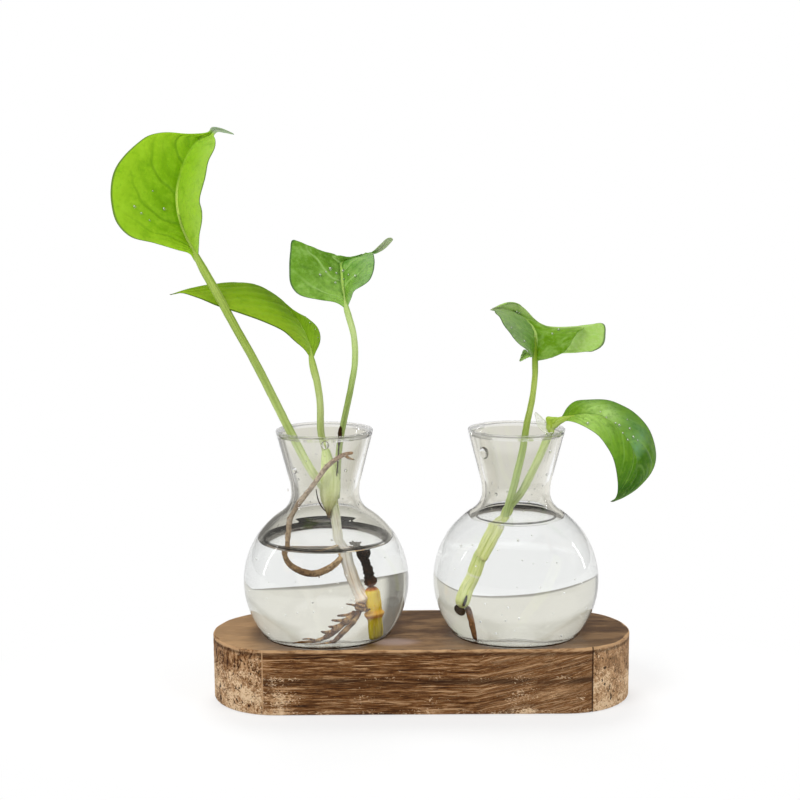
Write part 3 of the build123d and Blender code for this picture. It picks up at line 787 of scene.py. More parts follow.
def build_board(look):
    """One closed board: its rounded outline with worn sides, its recesses and the top between them."""
    length, depth, edge = look.length / MM, look.depth / MM, look.edge / MM
    count = int((2 * (length - depth) + pi * depth) / WALL_PITCH)
    walls = np.arange(edge + WALL_PITCH, BOARD_HEIGHT - edge, WALL_PITCH)
    profile = [(edge * (1 - sin(a)), edge * (1 - cos(a))) for a in np.linspace(0, pi / 2, 5)]
    profile += [(0, z) for z in walls]
    profile += [(edge * (1 - cos(a)), BOARD_HEIGHT - edge * (1 - sin(a))) for a in np.linspace(0, pi / 2, 6)]
    cut_depth = look.saw_marks / MM
    grid = np.zeros((len(profile), count, 3))
    for i, (inset, z) in enumerate(profile):
        for j, (x, y, out_x, out_y) in enumerate(outline(length, depth, count)):
            at_top = z > BOARD_HEIGHT - 2 * edge
            wear = 1 + (0.9 * noise.noise(Vector((x / 9, y / 9, 3))) if at_top else 0)
            cut = 0.06 + side_cut(x, y, z, cut_depth) * (0.35 if at_top else 1)
            move = inset * max(0.5, wear) + cut
            grid[i, j] = (x - out_x * move, y - out_y * move, z)
    shape = Shape()
    first = shape.grid(grid, 1, around=True)
    top_ring = [first + (len(profile) - 1) * count + j for j in range(count)]
    bottom_ring = [first + j for j in range(count)]
    mouths = recess_rings(shape)
    shape.add_face(list(reversed(bottom_ring)), [(0.5, 0)] * count, 1)
    piece = shape.build("board_worn", [board_top_finish(look), board_side_finish(look)])
    with mending(piece) as mesh:
        mesh.verts.ensure_lookup_table()
        loops = []
        for ring in (top_ring, *mouths):
            for start, end in zip(ring, ring[1:] + ring[:1]):
                loops.append(mesh.edges.get((mesh.verts[start], mesh.verts[end])))
        filled = bmesh.ops.triangle_fill(mesh, use_beauty=True, use_dissolve=False, edges=loops, normal=(0, 0, 1))
        for face in filled["geom"]:
            if isinstance(face, bmesh.types.BMFace):
                face.material_index = 0
                face.smooth = False
        bmesh.ops.recalc_face_normals(mesh, faces=mesh.faces)
    settle(piece, "base", "board", "board")


# Glass and water ----------------------------------------


def on_circle(centre, radius, angle):
    return (centre[0] + radius * cos(angle), centre[1] + radius * sin(angle))


def arc(centre, radius, start, end, count):
    return [on_circle(centre, radius, a) for a in np.linspace(start, end, count)]


def straight(start, end, shares=(0.08, 0.3, 0.55, 0.8, 0.93, 0.985)):
    """Places on a straight run between two places, closer together towards its end."""
    return [tuple(a + (b - a) * share for a, b in zip(start, end)) for share in shares]


SHOULDER_CURVE = (NECK_RADIUS**2 + NECK_RISE**2 - BULB_RADIUS**2) / (2 * (BULB_RADIUS - NECK_RADIUS))
SHOULDER_CENTRE = (NECK_RADIUS + SHOULDER_CURVE, NECK_RISE)
SHOULDER_ANGLE = atan2(NECK_RISE, NECK_RADIUS + SHOULDER_CURVE)
FOOT_ANGLE = -acos(sqrt(BULB_RADIUS**2 - FOOT_DROP**2) / BULB_RADIUS)
NECK_CENTRE = (NECK_RADIUS + NECK_CURVE, NECK_RISE)
RIM_FROM_NECK = (RIM_RADIUS - NECK_CENTRE[0], RIM_RISE - NECK_CENTRE[1])
FLARE_ANGLE = atan2(RIM_FROM_NECK[1], RIM_FROM_NECK[0]) + acos(NECK_CURVE / hypot(*RIM_FROM_NECK))
INNER_RADIUS = BULB_RADIUS - WALL
CORNER_REACH = INNER_RADIUS - FLOOR_CORNER
CORNER_CENTRE = (sqrt(CORNER_REACH**2 - (FLOOR_DROP - FLOOR_CORNER) ** 2), FLOOR_CORNER - FLOOR_DROP)
CORNER_ANGLE = atan2(CORNER_CENTRE[1], CORNER_CENTRE[0])
DOME_CURVE = (PUNT_RADIUS**2 + PUNT_HEIGHT**2) / (2 * PUNT_HEIGHT)


def dome(base, start, end, count):
    """The punt's low dome over a base height, between two shares of its width."""
    centre = (0, base + PUNT_HEIGHT - DOME_CURVE)
    widths = np.linspace(start, end, count) * PUNT_RADIUS
    return [on_circle(centre, DOME_CURVE, acos(width / DOME_CURVE)) for width in widths]


def inner_wall(grow=0.0):
    """The wall's inner side from the neck's flare down to the floor's punt, moved into the glass by grow."""
    flare = arc(NECK_CENTRE, NECK_CURVE + WALL - grow, FLARE_ANGLE, pi, 22)
    at_bead = on_circle((RIM_RADIUS, RIM_RISE), RIM_WALL - grow, FLARE_ANGLE)
    line = straight(flare[0], at_bead, (0.2, 0.4, 0.6, 0.75, 0.87, 0.95, 0.99))[::-1] + flare
    line += arc(SHOULDER_CENTRE, SHOULDER_CURVE + WALL - grow, pi, SHOULDER_ANGLE + pi, 24)[1:]
    line += arc((0, 0), INNER_RADIUS + grow, SHOULDER_ANGLE, CORNER_ANGLE, 70)[1:]
    line += arc(CORNER_CENTRE, FLOOR_CORNER + grow, CORNER_ANGLE, -pi / 2, 16)[1:]
    line += [(PUNT_RADIUS + 1.5, -FLOOR_DROP - grow)]
    line += dome(-FLOOR_DROP - grow, 1, 0.04, 14)
    return line


def outer_wall():
    """The glass's outer side, from its punt under the foot out and up to the start of the rim's bead."""
    line = dome(-FOOT_DROP, 0.04, 1, 14)
    line += [(PUNT_RADIUS + 0.8, -FOOT_DROP), (PUNT_RADIUS + 5, -FOOT_DROP)]
    foot = on_circle((0, 0), BULB_RADIUS, FOOT_ANGLE)
    line += [(foot[0] - 1.2, -FOOT_DROP), (foot[0] - 0.35, -FOOT_DROP + 0.12)]
    line += arc((0, 0), BULB_RADIUS, FOOT_ANGLE + 0.012, SHOULDER_ANGLE, 90)
    line += arc(SHOULDER_CENTRE, SHOULDER_CURVE, SHOULDER_ANGLE + pi, pi, 24)[1:]
    line += arc(NECK_CENTRE, NECK_CURVE, pi, FLARE_ANGLE, 22)[1:]
    line += straight(line[-1], (RIM_RADIUS, RIM_RISE))
    return line


def rim_bead():
    """The rolled bead round the rim, from the outer to the inner side."""
    middle = on_circle((RIM_RADIUS, RIM_RISE), RIM_WALL / 2, FLARE_ANGLE)
    upward = FLARE_ANGLE - pi / 2
    swell = 1.06 * RIM_WALL / 2
    gap = pi / 2 - acos(RIM_WALL / 2 / swell)
    return arc(middle, swell, upward - pi / 2 - gap, upward + pi / 2 + gap, 28)


def revolve(line, axis_x, sides, flip=False):
    """A line of radius and height turned round a vase's axis and closed at both ends on the axis."""
    grid = np.zeros((len(line), sides, 3))
    for j in range(sides):
        angle = 2 * pi * j / sides
        for i, (radius, rise) in enumerate(line):
            grid[i, j] = (axis_x + radius * cos(angle), radius * sin(angle), BULB_HEIGHT + rise)
    shape = Shape()
    ends = [(axis_x, 0, BULB_HEIGHT + rise) for radius, rise in (line[0], line[-1])]
    shape.capped(grid, *ends, flip=flip)
    return shape


def build_glass(side, axis_x, look):
    """A blown vase, a little uneven on its inner side."""
    rim = BULB_HEIGHT + RIM_RISE - CLEAR_RIM
    finish = clear_finish(side + "_glass_blown_clear", look.tint, GLASS_IOR, (0.97, 0.975, 0.97), rim=rim)
    inner = inner_wall()
    line = outer_wall() + rim_bead() + inner
    piece = revolve(line, axis_x, GLASS_SIDES).build(side + "_glass_blown", [finish])
    ripple = look.ripple / MM
    first_inner = (len(line) - len(inner) + 6) * GLASS_SIDES
    for vertex in piece.data.vertices:
        if first_inner <= vertex.index < len(line) * GLASS_SIDES:
            spot = vertex.co / MM
            out = Vector((spot.x - axis_x, spot.y, 0))
            if out.length > 3:
                wave = noise.fractal(Vector((out.x / 24 + axis_x, out.y / 24, spot.z / 26)), 1, 2, 2)
                vertex.co -= out.normalized() * (0.5 + 0.5 * wave) * ripple * MM
    settle(piece, side + "_vase", "glass", side + "_glass")


def build_water(side, axis_x, level, climb, line, look):
    """The water, which reaches a little into the glass so that no film of air is left between them.

    It climbs the wall at its sides and behind; in front the climb is pressed flat, so that it doesn't hide
    the surface. line is the inset and breadth of the painted dark line in front, painted shade at the meniscus.
    """
    edge = (axis_x, BULB_HEIGHT + level, inner_radius(level), *line)
    finish = clear_finish(side + "_water_clear", look.water, WATER_IOR, (0.98, 0.985, 0.98), 0, 0.01, edge=edge)
    wall = [(radius, rise) for radius, rise in inner_wall(WATER_OVERLAP) if rise < level + climb - 0.1]
    edge_radius = inner_radius(level + climb) + WATER_OVERLAP
    top = []
    for share in np.sin(np.linspace(0.02, pi / 2, 60)):
        radius = edge_radius * share
        top.append((radius, level + climb * float(np.exp(-(edge_radius - radius) / (0.8 * climb)))))
    piece = revolve(top + wall, axis_x, WATER_SIDES, flip=True).build(side + "_water", [finish])
    for vertex in piece.data.vertices:
        rise = vertex.co.z / MM - BULB_HEIGHT - level
        if rise > 0:
            out = Vector((vertex.co.x / MM - axis_x, vertex.co.y / MM))
            turned = min(max((-out.y / out.length + 0.25) / 0.75, 0), 1)
            share = 1 - 0.92 * turned**2 * (3 - 2 * turned)
            if vertex.index < len(top) * WATER_SIDES:
                out *= (inner_radius(level + climb * share) + WATER_OVERLAP) / edge_radius
            else:
                out *= (inner_radius(level + rise * share) + WATER_OVERLAP) / out.length
            vertex.co = Vector((axis_x + out.x, out.y, BULB_HEIGHT + level + rise * share)) * MM
    settle(piece, side + "_vase", "glass")


def inner_radius(rise):
    """How wide the vase is inside at a height over the middle of its bulb."""
    line = sorted((high, radius) for radius, high in inner_wall() if high > 0)
    return float(np.interp(rise, [high for high, radius in line], [radius for high, radius in line]))


def bubble_finish(name):
    """Air in water: silvery, with a darker speck here and there, and a painted glow: the colour also shines as
    light.
    """
    make = Finish(name)
    speck = make.noise(make.place(), 1.5, 2)
    colour = make.mix(make.step(speck, 0.35, 0.6), paint(196, 196, 190), paint(252, 252, 250))
    rough = make.step(speck, 0, 1, 0.2, 0.4)
    # Painted light: the bubbles glow with their own colour, though they are no lamp.
    return make.skin(Base_Color=colour, Roughness=rough, Emission_Color=colour, Emission_Strength=0.25)


# Large drops in each neck: pixels across and down, and the radius in millimetres
NECK_DROPS = {
    "left": ((325, 445, 1.9), (296, 470, 1.5), (345, 470, 0.8), (288, 490, 0.7)),
    "right": ((485, 452.5, 2.9), (549, 451, 0.9), (545, 474, 0.7), (497, 494, 0.8)),
}


def build_drops(look):
    """Drops that cling inside the necks, and bubbles that hang in the water."""
    for side, axis_x, level, seed in (("left", LEFT, look.left_level, 3), ("right", RIGHT, look.right_level, 4)):
        rng = np.random.default_rng(seed)

        def on_wall(reach, angle, rise):
            return Vector((axis_x + reach * cos(angle), reach * sin(angle), BULB_HEIGHT + rise))

        drops = Shape()
        for across, down, size in NECK_DROPS[side]:
            depth = -12.0
            for turn in range(12):
                spot = seen(across, down, depth)
                reach = inner_radius(spot.z - BULB_HEIGHT) + 0.05
                depth = -sqrt(max(reach**2 - (spot.x - axis_x) ** 2, 1.0))
            drops.ball(spot, size, Vector((axis_x - spot.x, -spot.y, 0)), 0.45, sides=20)
        for index in range(46):
            angle = rng.uniform(0, 2 * pi)
            rise = rng.uniform(level / MM + 4, 70)
            spot = on_wall(inner_radius(rise) + 0.02, angle, rise)
            drops.ball(spot, rng.uniform(0.22, 0.6), Vector((-cos(angle), -sin(angle), 0)), 0.5, sides=10)
        finish = clear_finish(side + "_neck_drops_clear", (1, 1, 1), WATER_IOR, (0.98, 0.98, 0.98), grain=0.005)
        settle(drops.build(side + "_neck_drops", [finish]), side + "_vase", "glass")
        bubbles = Shape()
        for index in range(34):
            angle, width = rng.uniform(0, 2 * pi), rng.uniform(0.2, 0.97)
            rise = rng.uniform(-22, 12)
            reach = width * (sqrt(INNER_RADIUS**2 - rise**2) - 1.5) if rise > -16 else width * 26
            bubbles.ball(on_wall(reach, angle, rise), rng.uniform(0.2, 0.42), sides=10)
        air = bubble_finish(side + "_bubbles_silvery")
        settle(bubbles.build(side + "_bubbles", [air]), side + "_vase", "glass")


# Stalks, canes and roots ----------------------------------------


def knots(axis_x, bulb=(), rim=(), shown=()):
    """Places with a radius each: some in a bulb, then some at its rim, then some as the camera sees them."""
    places = [(*in_bulb(axis_x, x, y, z), radius) for x, y, z, radius in bulb]
    places += [(*at_rim(axis_x, x, y, z), radius) for x, y, z, radius in rim]
    return places + [(*seen(across, down, depth), radius) for across, down, depth, radius in shown]


# Each leaf stalk: how deep its groove is, the colour of its streaks, its colours from foot to leaf, and its
# route as x, y, z and radius
STALKS = {}
STALKS["left_tall_stalk"] = dict(
    groove=0.1, streak=(204, 214, 130),
    stops=(
        (0, 220, 226, 184), (0.12, 216, 226, 170), (0.27, 180, 198, 120), (0.6, 150, 174, 70),
        (1, 158, 186, 78),
    ),
    bulb=((0.02, 0, 0.9, 1.7), (0, -0.01, 1.02, 1.95)),
    shown=(
        (311, 470, -2.3, 2.05), (292, 435, -4.7, 2.05), (256.6, 365, -8.9, 2), (234.5, 325.5, -9.7, 2),
        (215.5, 291, -9.8, 2.05), (203.5, 269.5, -9, 2), (197.3, 258, -8.3, 1.6), (192, 247.5, -7.6, 1.2),
        (186.4, 236.5, -6.7, 0.9), (182, 226, -5.7, 0.65), (178.8, 214, -4.9, 0.45),
    ),
)
STALKS["left_side_stalk"] = dict(
    groove=0.12, streak=(210, 220, 154),
    stops=(
        (0, 206, 208, 176), (0.35, 172, 184, 112), (0.6, 190, 204, 134), (0.85, 168, 190, 92),
        (1, 160, 190, 70),
    ),
    bulb=((0.03, 0.09, 0.93, 1.5),), rim=((0.0, 0.14, 0.86, 1.7),),
    shown=(
        (321, 433, 3.5, 1.75), (320, 402, 3.2, 1.7), (317, 382, 2.8, 1.75), (313, 366, 2.4, 1.8),
        (311.3, 357, 2.2, 1.3), (310.3, 350, 2.6, 0.8), (308.5, 342, 5, 0.4),
    ),
)
STALKS["left_small_stalk"] = dict(
    groove=0.12, streak=(212, 226, 166),
    stops=(
        (0, 190, 198, 152), (0.3, 150, 168, 92), (0.5, 150, 172, 88), (0.62, 176, 198, 118),
        (0.8, 192, 212, 140), (1, 166, 196, 92),
    ),
    bulb=((0.14, 0.0, 0.92, 1.5),), rim=((0.28, -0.02, 0.81, 1.55),),
    shown=(
        (341.6, 433, -0.4, 1.5), (351, 387, -0.1, 1.5), (355, 361, 0.2, 1.5), (353.8, 336, 0.7, 1.5),
        (349.2, 318, 0.9, 1.55), (346.6, 309, 1, 1.4), (345.4, 302, 2.2, 0.9), (344.4, 294, 4.2, 0.55),
        (343.2, 285, 6.2, 0.4),
    ),
)
STALKS["right_top_stalk"] = dict(
    groove=0.12, streak=(196, 210, 130),
    stops=(
        (0, 182, 198, 132), (0.3, 168, 188, 110), (0.5, 160, 180, 86), (0.75, 168, 188, 84),
        (0.9, 118, 150, 22), (1, 116, 148, 24),
    ),
    bulb=((-0.13, -0.05, 0.66, 1.5), (-0.1, -0.045, 0.82, 1.75)),
    rim=((-0.02, -0.07, 0.67, 1.8), (0.12, -0.06, 0.855, 1.75)),
    shown=(
        (527, 423, -1.2, 1.6), (532, 400, -1, 1.48), (535, 375, -0.5, 1.4), (535, 362, 0, 1.5),
        (535, 354, 0.6, 1.3), (535.2, 345, 1.8, 0.9), (535, 337, 3.4, 0.5),
    ),
)
STALKS["right_drooping_stalk"] = dict(
    groove=0.12, streak=(214, 224, 168),
    stops=((0, 190, 206, 136), (0.5, 200, 212, 148), (0.75, 176, 196, 96), (1, 150, 182, 44)),
    bulb=((-0.12, 0.04, 0.66, 1.6), (-0.07, 0.048, 0.8, 1.85)),
    rim=((0.11, 0.06, 0.58, 1.9), (0.37, 0.03, 0.735, 1.9), (0.58, 0, 0.89, 1.9), (0.7, 0, 0.985, 1.85)),
    shown=(
        (550.5, 427.5, 0, 2.2), (556, 422.5, 0, 2.1), (562.5, 419.5, 0, 1.6), (569, 417.5, 0.2, 1),
        (578, 415.5, 0, 0.5),
    ),
)


def build_stalks(side, axis_x):
    """One cutting's leaf stalks, which run on under their leaves as the midribs."""
    for node, stalk in STALKS.items():
        if not node.startswith(side):
            continue
        route = knots(axis_x, stalk["bulb"], stalk.get("rim", ()), stalk["shown"])
        shape = Shape()
        shape.tube(route, rough=0.05, grain=0.35, groove=stalk["groove"])
        finish = stalk_finish(node + "_green", stalk["stops"], paint(*stalk["streak"]))
        settle(shape.build(node + "_skin", [finish]), side + "_cutting", "stalk", node)


def build_left_shoot():
    """The pale shoot, the wide sheathed feet of the stalks on its head, and the knuckle at its foot."""
    pale = (
        (0, 250, 226, 200), (0.12, 254, 246, 232), (0.2, 236, 224, 206), (0.35, 240, 236, 226),
        (0.6, 240, 238, 224), (0.8, 224, 224, 196), (1, 196, 202, 150),
    )
    places = (
        (0.345, -0.015, -0.37, 1.8), (0.33, -0.015, -0.3, 3.1), (0.315, -0.018, -0.24, 2.4),
        (0.29, -0.018, -0.17, 2.2), (0.24, -0.02, 0.02, 2.35), (0.175, -0.02, 0.27, 2.35),
        (0.15, -0.01, 0.45, 2.3), (0.13, 0, 0.62, 2.4), (0.1, 0.01, 0.8, 2.6), (0.08, 0.03, 0.97, 2.6),
    )
    shape = Shape()
    shape.tube(knots(LEFT, places), rough=0.12, grain=0.5, stretch=0.25)
    finish = stalk_finish("left_shoot_pale", pale, paint(150, 116, 80), 0.4, 0.5, shine=0.15)
    settle(shape.build("left_shoot_skin", [finish]), "left_cutting", "shoot", "left_shoot")

    places = (
        (329, 521, -2.4, 0.5), (328.5, 512, -2.6, 1.5), (329, 501, -2.2, 3.6), (329.5, 488, -1.4, 4.9),
        (329.5, 474, -0.4, 4.7), (327.5, 461, 1.4, 3), (325.5, 448, 3, 1.8),
    )
    stops = (
        (0, 70, 40, 18), (0.1, 120, 96, 50), (0.22, 196, 196, 140), (0.45, 208, 214, 156),
        (0.75, 212, 222, 160), (1, 196, 210, 138),
    )
    sheath = Shape()
    sheath.tube(knots(LEFT, shown=places), sides=40, rough=0.12, grain=0.3, stretch=0.15, groove=0.18, oval=0.62)
    finish = stalk_finish("left_sheath_pale_green", stops, paint(226, 230, 190), 0.5, 0.4, shine=0.15)
    settle(sheath.build("left_stalk_sheath", [finish]), "left_cutting", "stalk")

    threads = Shape()
    for places in (
        ((340.6, 426, -1.9, 0.35), (340.2, 431, -2, 1), (339.6, 437, -2.1, 0.9), (338.6, 447, -2.1, 0.3)),
        ((338.8, 445, -2.1, 0.28), (337.8, 462, -2.2, 0.3), (336.4, 478, -2.4, 0.28), (335.6, 492, -2.6, 0.22)),
        ((316, 488, -4.4, 0.22), (318.5, 500, -4.2, 0.3), (323, 509, -3.6, 0.3), (328, 514, -2, 0.3)),
        ((331, 503, -3.4, 0.3), (330, 512, -2.4, 0.55), (329.6, 521, -0.6, 0.3)),
    ):
        threads.tube(knots(LEFT, shown=places), sides=8, pitch=0.5, rough=0.3)
    brown = root_finish("left_torn_fibre_brown", ((0, 62, 36, 12), (1, 70, 48, 26)), paint(30, 16, 6))
    settle(threads.build("left_torn_fibres", [brown]), "left_cutting", "dry_stub")


def build_left_cane(look):
    """The yellow cut cane, thicker at its node."""
    foot = in_bulb(LEFT, 0.45, 0, -1) + Vector((0, 0, 0.62))
    top = in_bulb(LEFT, 0.415, 0, -0.11)
    shares = (
        (0, 2.7), (0.25, 2.85), (0.44, 2.9), (0.5, 3.7), (0.54, 3.8), (0.58, 3.1), (0.7, 2.95), (0.85, 2.85),
        (0.95, 2.75), (1, 2.3),
    )
    route = [(*(foot + (top - foot) * share), radius) for share, radius in shares]
    stops = (
        (0, 160, 146, 0), (0.3, 190, 172, 0), (0.44, 206, 182, 10), (0.48, 206, 132, 50), (0.53, 240, 192, 96),
        (0.57, 240, 186, 60), (0.61, 232, 190, 16), (0.7, look.cane), (0.92, 236, 208, 70), (0.95, 196, 110, 40),
        (1, 110, 58, 24),
    )
    shape = Shape()
    shape.tube(route, sides=32, pitch=0.35, rough=0.05, grain=0.3, stretch=0.2)
    finish = stalk_finish("left_cane_yellow", stops, paint(240, 220, 130), 0.35, 0.34, 0.15, 0.15)
    settle(shape.build("left_cane_skin", [finish]), "left_cutting", "cane", "left_cane")


def build_dry_tip(look):
    """The dry stub on the cane: a ragged, torn head on a thin waist."""
    waist = (
        (0.414, 0, -0.12, 2.7), (0.404, 0, -0.04, 2.2), (0.394, 0, 0.05, 1.75), (0.372, 0, 0.14, 1.45),
        (0.352, 0, 0.22, 1.9), (0.345, 0, 0.25, 1.6),
    )
    shape = Shape()
    shape.tube(knots(LEFT, waist), rough=0.5, grain=0.8, stretch=0.5, pitch=0.3)
    rng = np.random.default_rng(5)
    for index in range(11):
        angle = 2 * pi * index / 11
        reach = 0.04 + 0.035 * rng.random()
        lift = 0.235 + 0.075 * rng.random()
        tooth = (
            (0.352 + 0.2 * reach * cos(angle), 0.2 * reach * sin(angle), 0.17, 0.8),
            (0.35 + 0.8 * reach * cos(angle), 0.8 * reach * sin(angle), 0.22, 0.7),
            (0.348 + reach * cos(angle), reach * sin(angle), lift, 0.45),
        )
        shape.tube(knots(LEFT, tooth), sides=8, rough=0.4, grain=1.5, pitch=0.3)
    dry = look.dry
    stops = ((0, 150, 80, 36), (0.12, 84, 48, 22), (0.3, dry), (1.0, dry))
    finish = root_finish("left_dry_brown", stops, paint(14, 8, 4), 0.8, 0.05)
    settle(shape.build("left_cane_dry_tip_skin", [finish]), "left_cutting", "dry_stub", "left_cane_dry_tip")


def build_roots(look):
    """The loop root, the thick double root with its rootlets, and the right cutting's short root."""
    under_water = (
        (0.165, -0.03, 0.22, 1), (0.07, -0.12, 0.15, 1.25), (-0.09, -0.25, 0.115, 1.35),
        (-0.25, -0.35, 0.17, 1.3), (-0.38, -0.38, 0.27, 1.15), (-0.43, -0.365, 0.42, 1.1),
    )
    above = (
        (289.3, 530, -12.6, 1.25), (291, 520, -11.2, 1.3), (297.5, 507.5, -9.2, 1.25), (305, 496, -7.2, 1.2),
        (316, 481, -6.8, 1.15), (328, 465.5, -7, 1.15), (340, 456.5, -6.6, 1.05), (346, 454, -6.2, 0.95),
        (353, 452.5, -5.6, 0.6),
    )
    side_end = ((344, 455, -6.4, 0.8), (349, 458, -6.2, 0.6), (354, 459.5, -6, 0.35))
    route = knots(LEFT, under_water, shown=above)
    loop = Shape()
    loop.tube(route, sides=18, rough=0.16, grain=0.55, stretch=0.7)
    loop.tube(knots(LEFT, shown=side_end), sides=10)
    rng = np.random.default_rng(11)
    path = even_samples(route, 0.8)[0]
    for index in rng.choice(len(path) - 4, 34, replace=False):
        x, y, z, radius = path[index + 2]
        lean = Vector(rng.normal(size=3)).normalized()
        tip = Vector((x, y, z)) + lean * (radius + 0.25 + 0.5 * rng.random())
        loop.tube([(x, y, z, 0.5), (*((Vector((x, y, z)) + tip) / 2), 0.4), (*tip, 0.25)], sides=8, pitch=0.3)
    tan = (
        (0, 206, 176, 136), (0.2, look.root), (0.4, 176, 146, 108), (0.52, 184, 166, 142), (0.8, 188, 168, 144),
        (1, 160, 130, 100),
    )
    piece = loop.build("left_root_loop_skin", [root_finish("left_root_loop_brown", tan, look.root_dark, 0.6)])
    settle(piece, "left_cutting", "root", "left_root_loop")
    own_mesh(piece)

    roots = Shape()
    roots.ball(in_bulb(LEFT, 0.31, -0.05, -0.4), 2.2, (0.4, 0, 1), 0.9, sides=18)
    strands = (
        ((0.31, -0.06, -0.44, 1.2), (0.25, -0.11, -0.6, 1.05), (0.14, -0.17, -0.78, 1),
         (0.05, -0.2, -0.93, 0.7)),
        ((0.28, -0.08, -0.46, 1.2), (0.16, -0.14, -0.62, 1.15), (0.04, -0.19, -0.77, 1.2),
         (-0.03, -0.21, -0.84, 0.8)),
        ((0.02, -0.19, -0.8, 0.8), (-0.1, -0.24, -0.87, 0.7), (-0.25, -0.26, -0.9, 0.6),
         (-0.33, -0.26, -0.93, 0.3)),
        ((0.08, -0.2, -0.88, 0.7), (-0.02, -0.22, -0.93, 0.7), (-0.14, -0.24, -0.95, 0.5),
         (-0.22, -0.24, -0.97, 0.3)),
    )
    for strand in strands:
        roots.tube(knots(LEFT, strand), sides=16, rough=0.22, grain=0.8, stretch=0.6)
    stubs = (
        ((0.28, -0.08, -0.47, 0.8), (0.2, -0.11, -0.5, 0.6), (0.1, -0.15, -0.5, 0.35)),
        ((0.22, -0.12, -0.55, 0.7), (0.14, -0.16, -0.57, 0.6), (0.05, -0.19, -0.555, 0.35)),
        ((0.14, -0.14, -0.64, 0.8), (0.08, -0.18, -0.66, 0.65), (0.02, -0.2, -0.65, 0.35)),
        ((0.06, -0.18, -0.73, 0.8), (0, -0.21, -0.74, 0.6), (-0.05, -0.22, -0.72, 0.35)),
        ((-0.1, -0.24, -0.86, 0.6), (-0.16, -0.28, -0.83, 0.4), (-0.23, -0.3, -0.835, 0.25)),
        ((0, -0.22, -0.92, 0.6), (-0.04, -0.22, -0.96, 0.4), (-0.1, -0.22, -0.98, 0.25)),
        ((0.31, -0.06, -0.42, 0.7), (0.25, -0.09, -0.36, 0.4), (0.18, -0.12, -0.33, 0.2)),
        ((0.31, -0.07, -0.42, 0.8), (0.37, -0.1, -0.44, 0.6), (0.42, -0.12, -0.42, 0.3)),
    )
    for places in stubs:
        roots.tube(knots(LEFT, places), sides=12, rough=0.25, grain=0.9)
    rust = (
        (0, 80, 46, 18), (0.12, 120, 76, 38), (0.26, 206, 168, 116), (0.4, 110, 70, 34), (0.56, 196, 156, 104),
        (0.72, 104, 66, 34), (0.85, 150, 110, 70), (1, 70, 40, 18),
    )
    piece = roots.build("left_roots_skin", [root_finish("left_roots_brown", rust, paint(52, 28, 8), 0.65)])
    settle(piece, "left_cutting", "root", "left_roots")
    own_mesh(piece)

    short = Shape()
    route = ((-0.44, 0, -0.42, 1.1), (-0.405, 0, -0.6, 1.15), (-0.375, 0, -0.8, 1.0), (-0.355, 0.01, -0.97, 0.6))
    short.tube(knots(RIGHT, route), sides=16, rough=0.16, grain=0.6)
    ends = ((0, 64, 34, 12), (0.3, 150, 104, 64), (0.7, 134, 90, 54), (1, 90, 58, 34))
    piece = short.build("right_root_skin", [root_finish("right_root_brown", ends, look.root_dark, 0.6)])
    settle(piece, "right_cutting", "root", "right_root")


def build_vine():
    """The right cutting's vine: a thick foot, two strands that meet at the crown, and its black cut end."""
    vine = Shape()
    lower = (
        (-0.5, 0.02, -0.46, 2.3), (-0.487, 0.02, -0.38, 2.65), (-0.445, 0.02, -0.16, 2.6),
        (-0.4, 0.015, 0, 2.6), (-0.372, 0.01, 0.08, 2.7), (-0.345, 0.01, 0.16, 2.65), (-0.33, 0.005, 0.2, 2.6),
        (-0.3, 0, 0.26, 2.3), (-0.27, 0, 0.32, 1.5),
    )
    vine.tube(knots(RIGHT, lower), sides=36, pitch=0.35, rough=0.05, grain=0.4)
    strands = (
        ((-0.345, -0.01, 0.17, 1.6), (-0.325, -0.02, 0.26, 1.95), (-0.26, -0.03, 0.42, 1.95),
         (-0.19, -0.03, 0.58, 1.95)),
        ((-0.32, -0.03, 0.16, 1.6), (-0.275, -0.04, 0.27, 1.95), (-0.2, -0.045, 0.42, 1.95),
         (-0.135, -0.045, 0.57, 1.95)),
    )
    crown = ((-0.135, -0.01, 0.68, 2.3), (-0.1, -0.01, 0.775, 2.6), (-0.075, 0, 0.85, 1.8))
    for strand in strands:
        vine.tube(knots(RIGHT, strand + crown), sides=26, rough=0.07, grain=0.4)
    stops = (
        (0, 224, 226, 150), (0.1, 236, 242, 168), (0.48, 242, 246, 190), (0.5, 250, 250, 226),
        (0.53, 232, 238, 166), (0.7, 226, 234, 160), (1, 190, 206, 130),
    )
    finish = stalk_finish("right_vine_green", stops, paint(160, 184, 84), 0.45, shine=0.1)
    settle(vine.build("right_vine_skin", [finish]), "right_cutting", "stalk", "right_vine")

    cut = Shape()
    end = in_bulb(RIGHT, -0.507, 0.02, -0.49)
    cut.ball(end, 2.4, (0.35, -0.55, 0.75), 0.6, sides=20)
    splinter = ((0.4, -2.9, 1.8, 0.5), (1.3, -3.3, 4.2, 0.6), (1.9, -3.2, 6.4, 0.2))
    cut.tube([(*(end + Vector(off)), radius) for *off, radius in splinter], sides=8, rough=0.3)
    stops = ((0, 26, 22, 10), (1, 34, 28, 14))
    black = root_finish("right_vine_cut_black", stops, paint(8, 8, 4), 0.7, 0.05)
    settle(cut.build("right_vine_cut", [black]), "right_cutting", "stalk")


def thin_sheet(name, rows, finish, thickness, crease=0.3):
    """A thin closed sheet over rows of seen places."""
    sheet = {"base_depth": 0.0, "rows": rows, "crease": crease}
    grid, normals, over = leaf_surface(sheet, 48, 12)
    ruffle = 0.12 * np.sin(over[..., 1] * 23 + over[..., 0] * 9)
    upper = grid + normals * ruffle[..., None]
    lower = upper - normals * thickness
    shape = Shape()
    shape.grid(upper, 0, over=over)
    shape.grid(lower, 0, flip=True, over=over)
    ends = (
        (upper[0], lower[0]), (upper[-1], lower[-1]), (upper[:, 0], lower[:, 0]), (upper[:, -1], lower[:, -1]),
    )
    for top, bottom in ends:
        shape.grid(np.stack([bottom, top]), 0)
    return weld(shape.build(name, [finish]), turn=True)


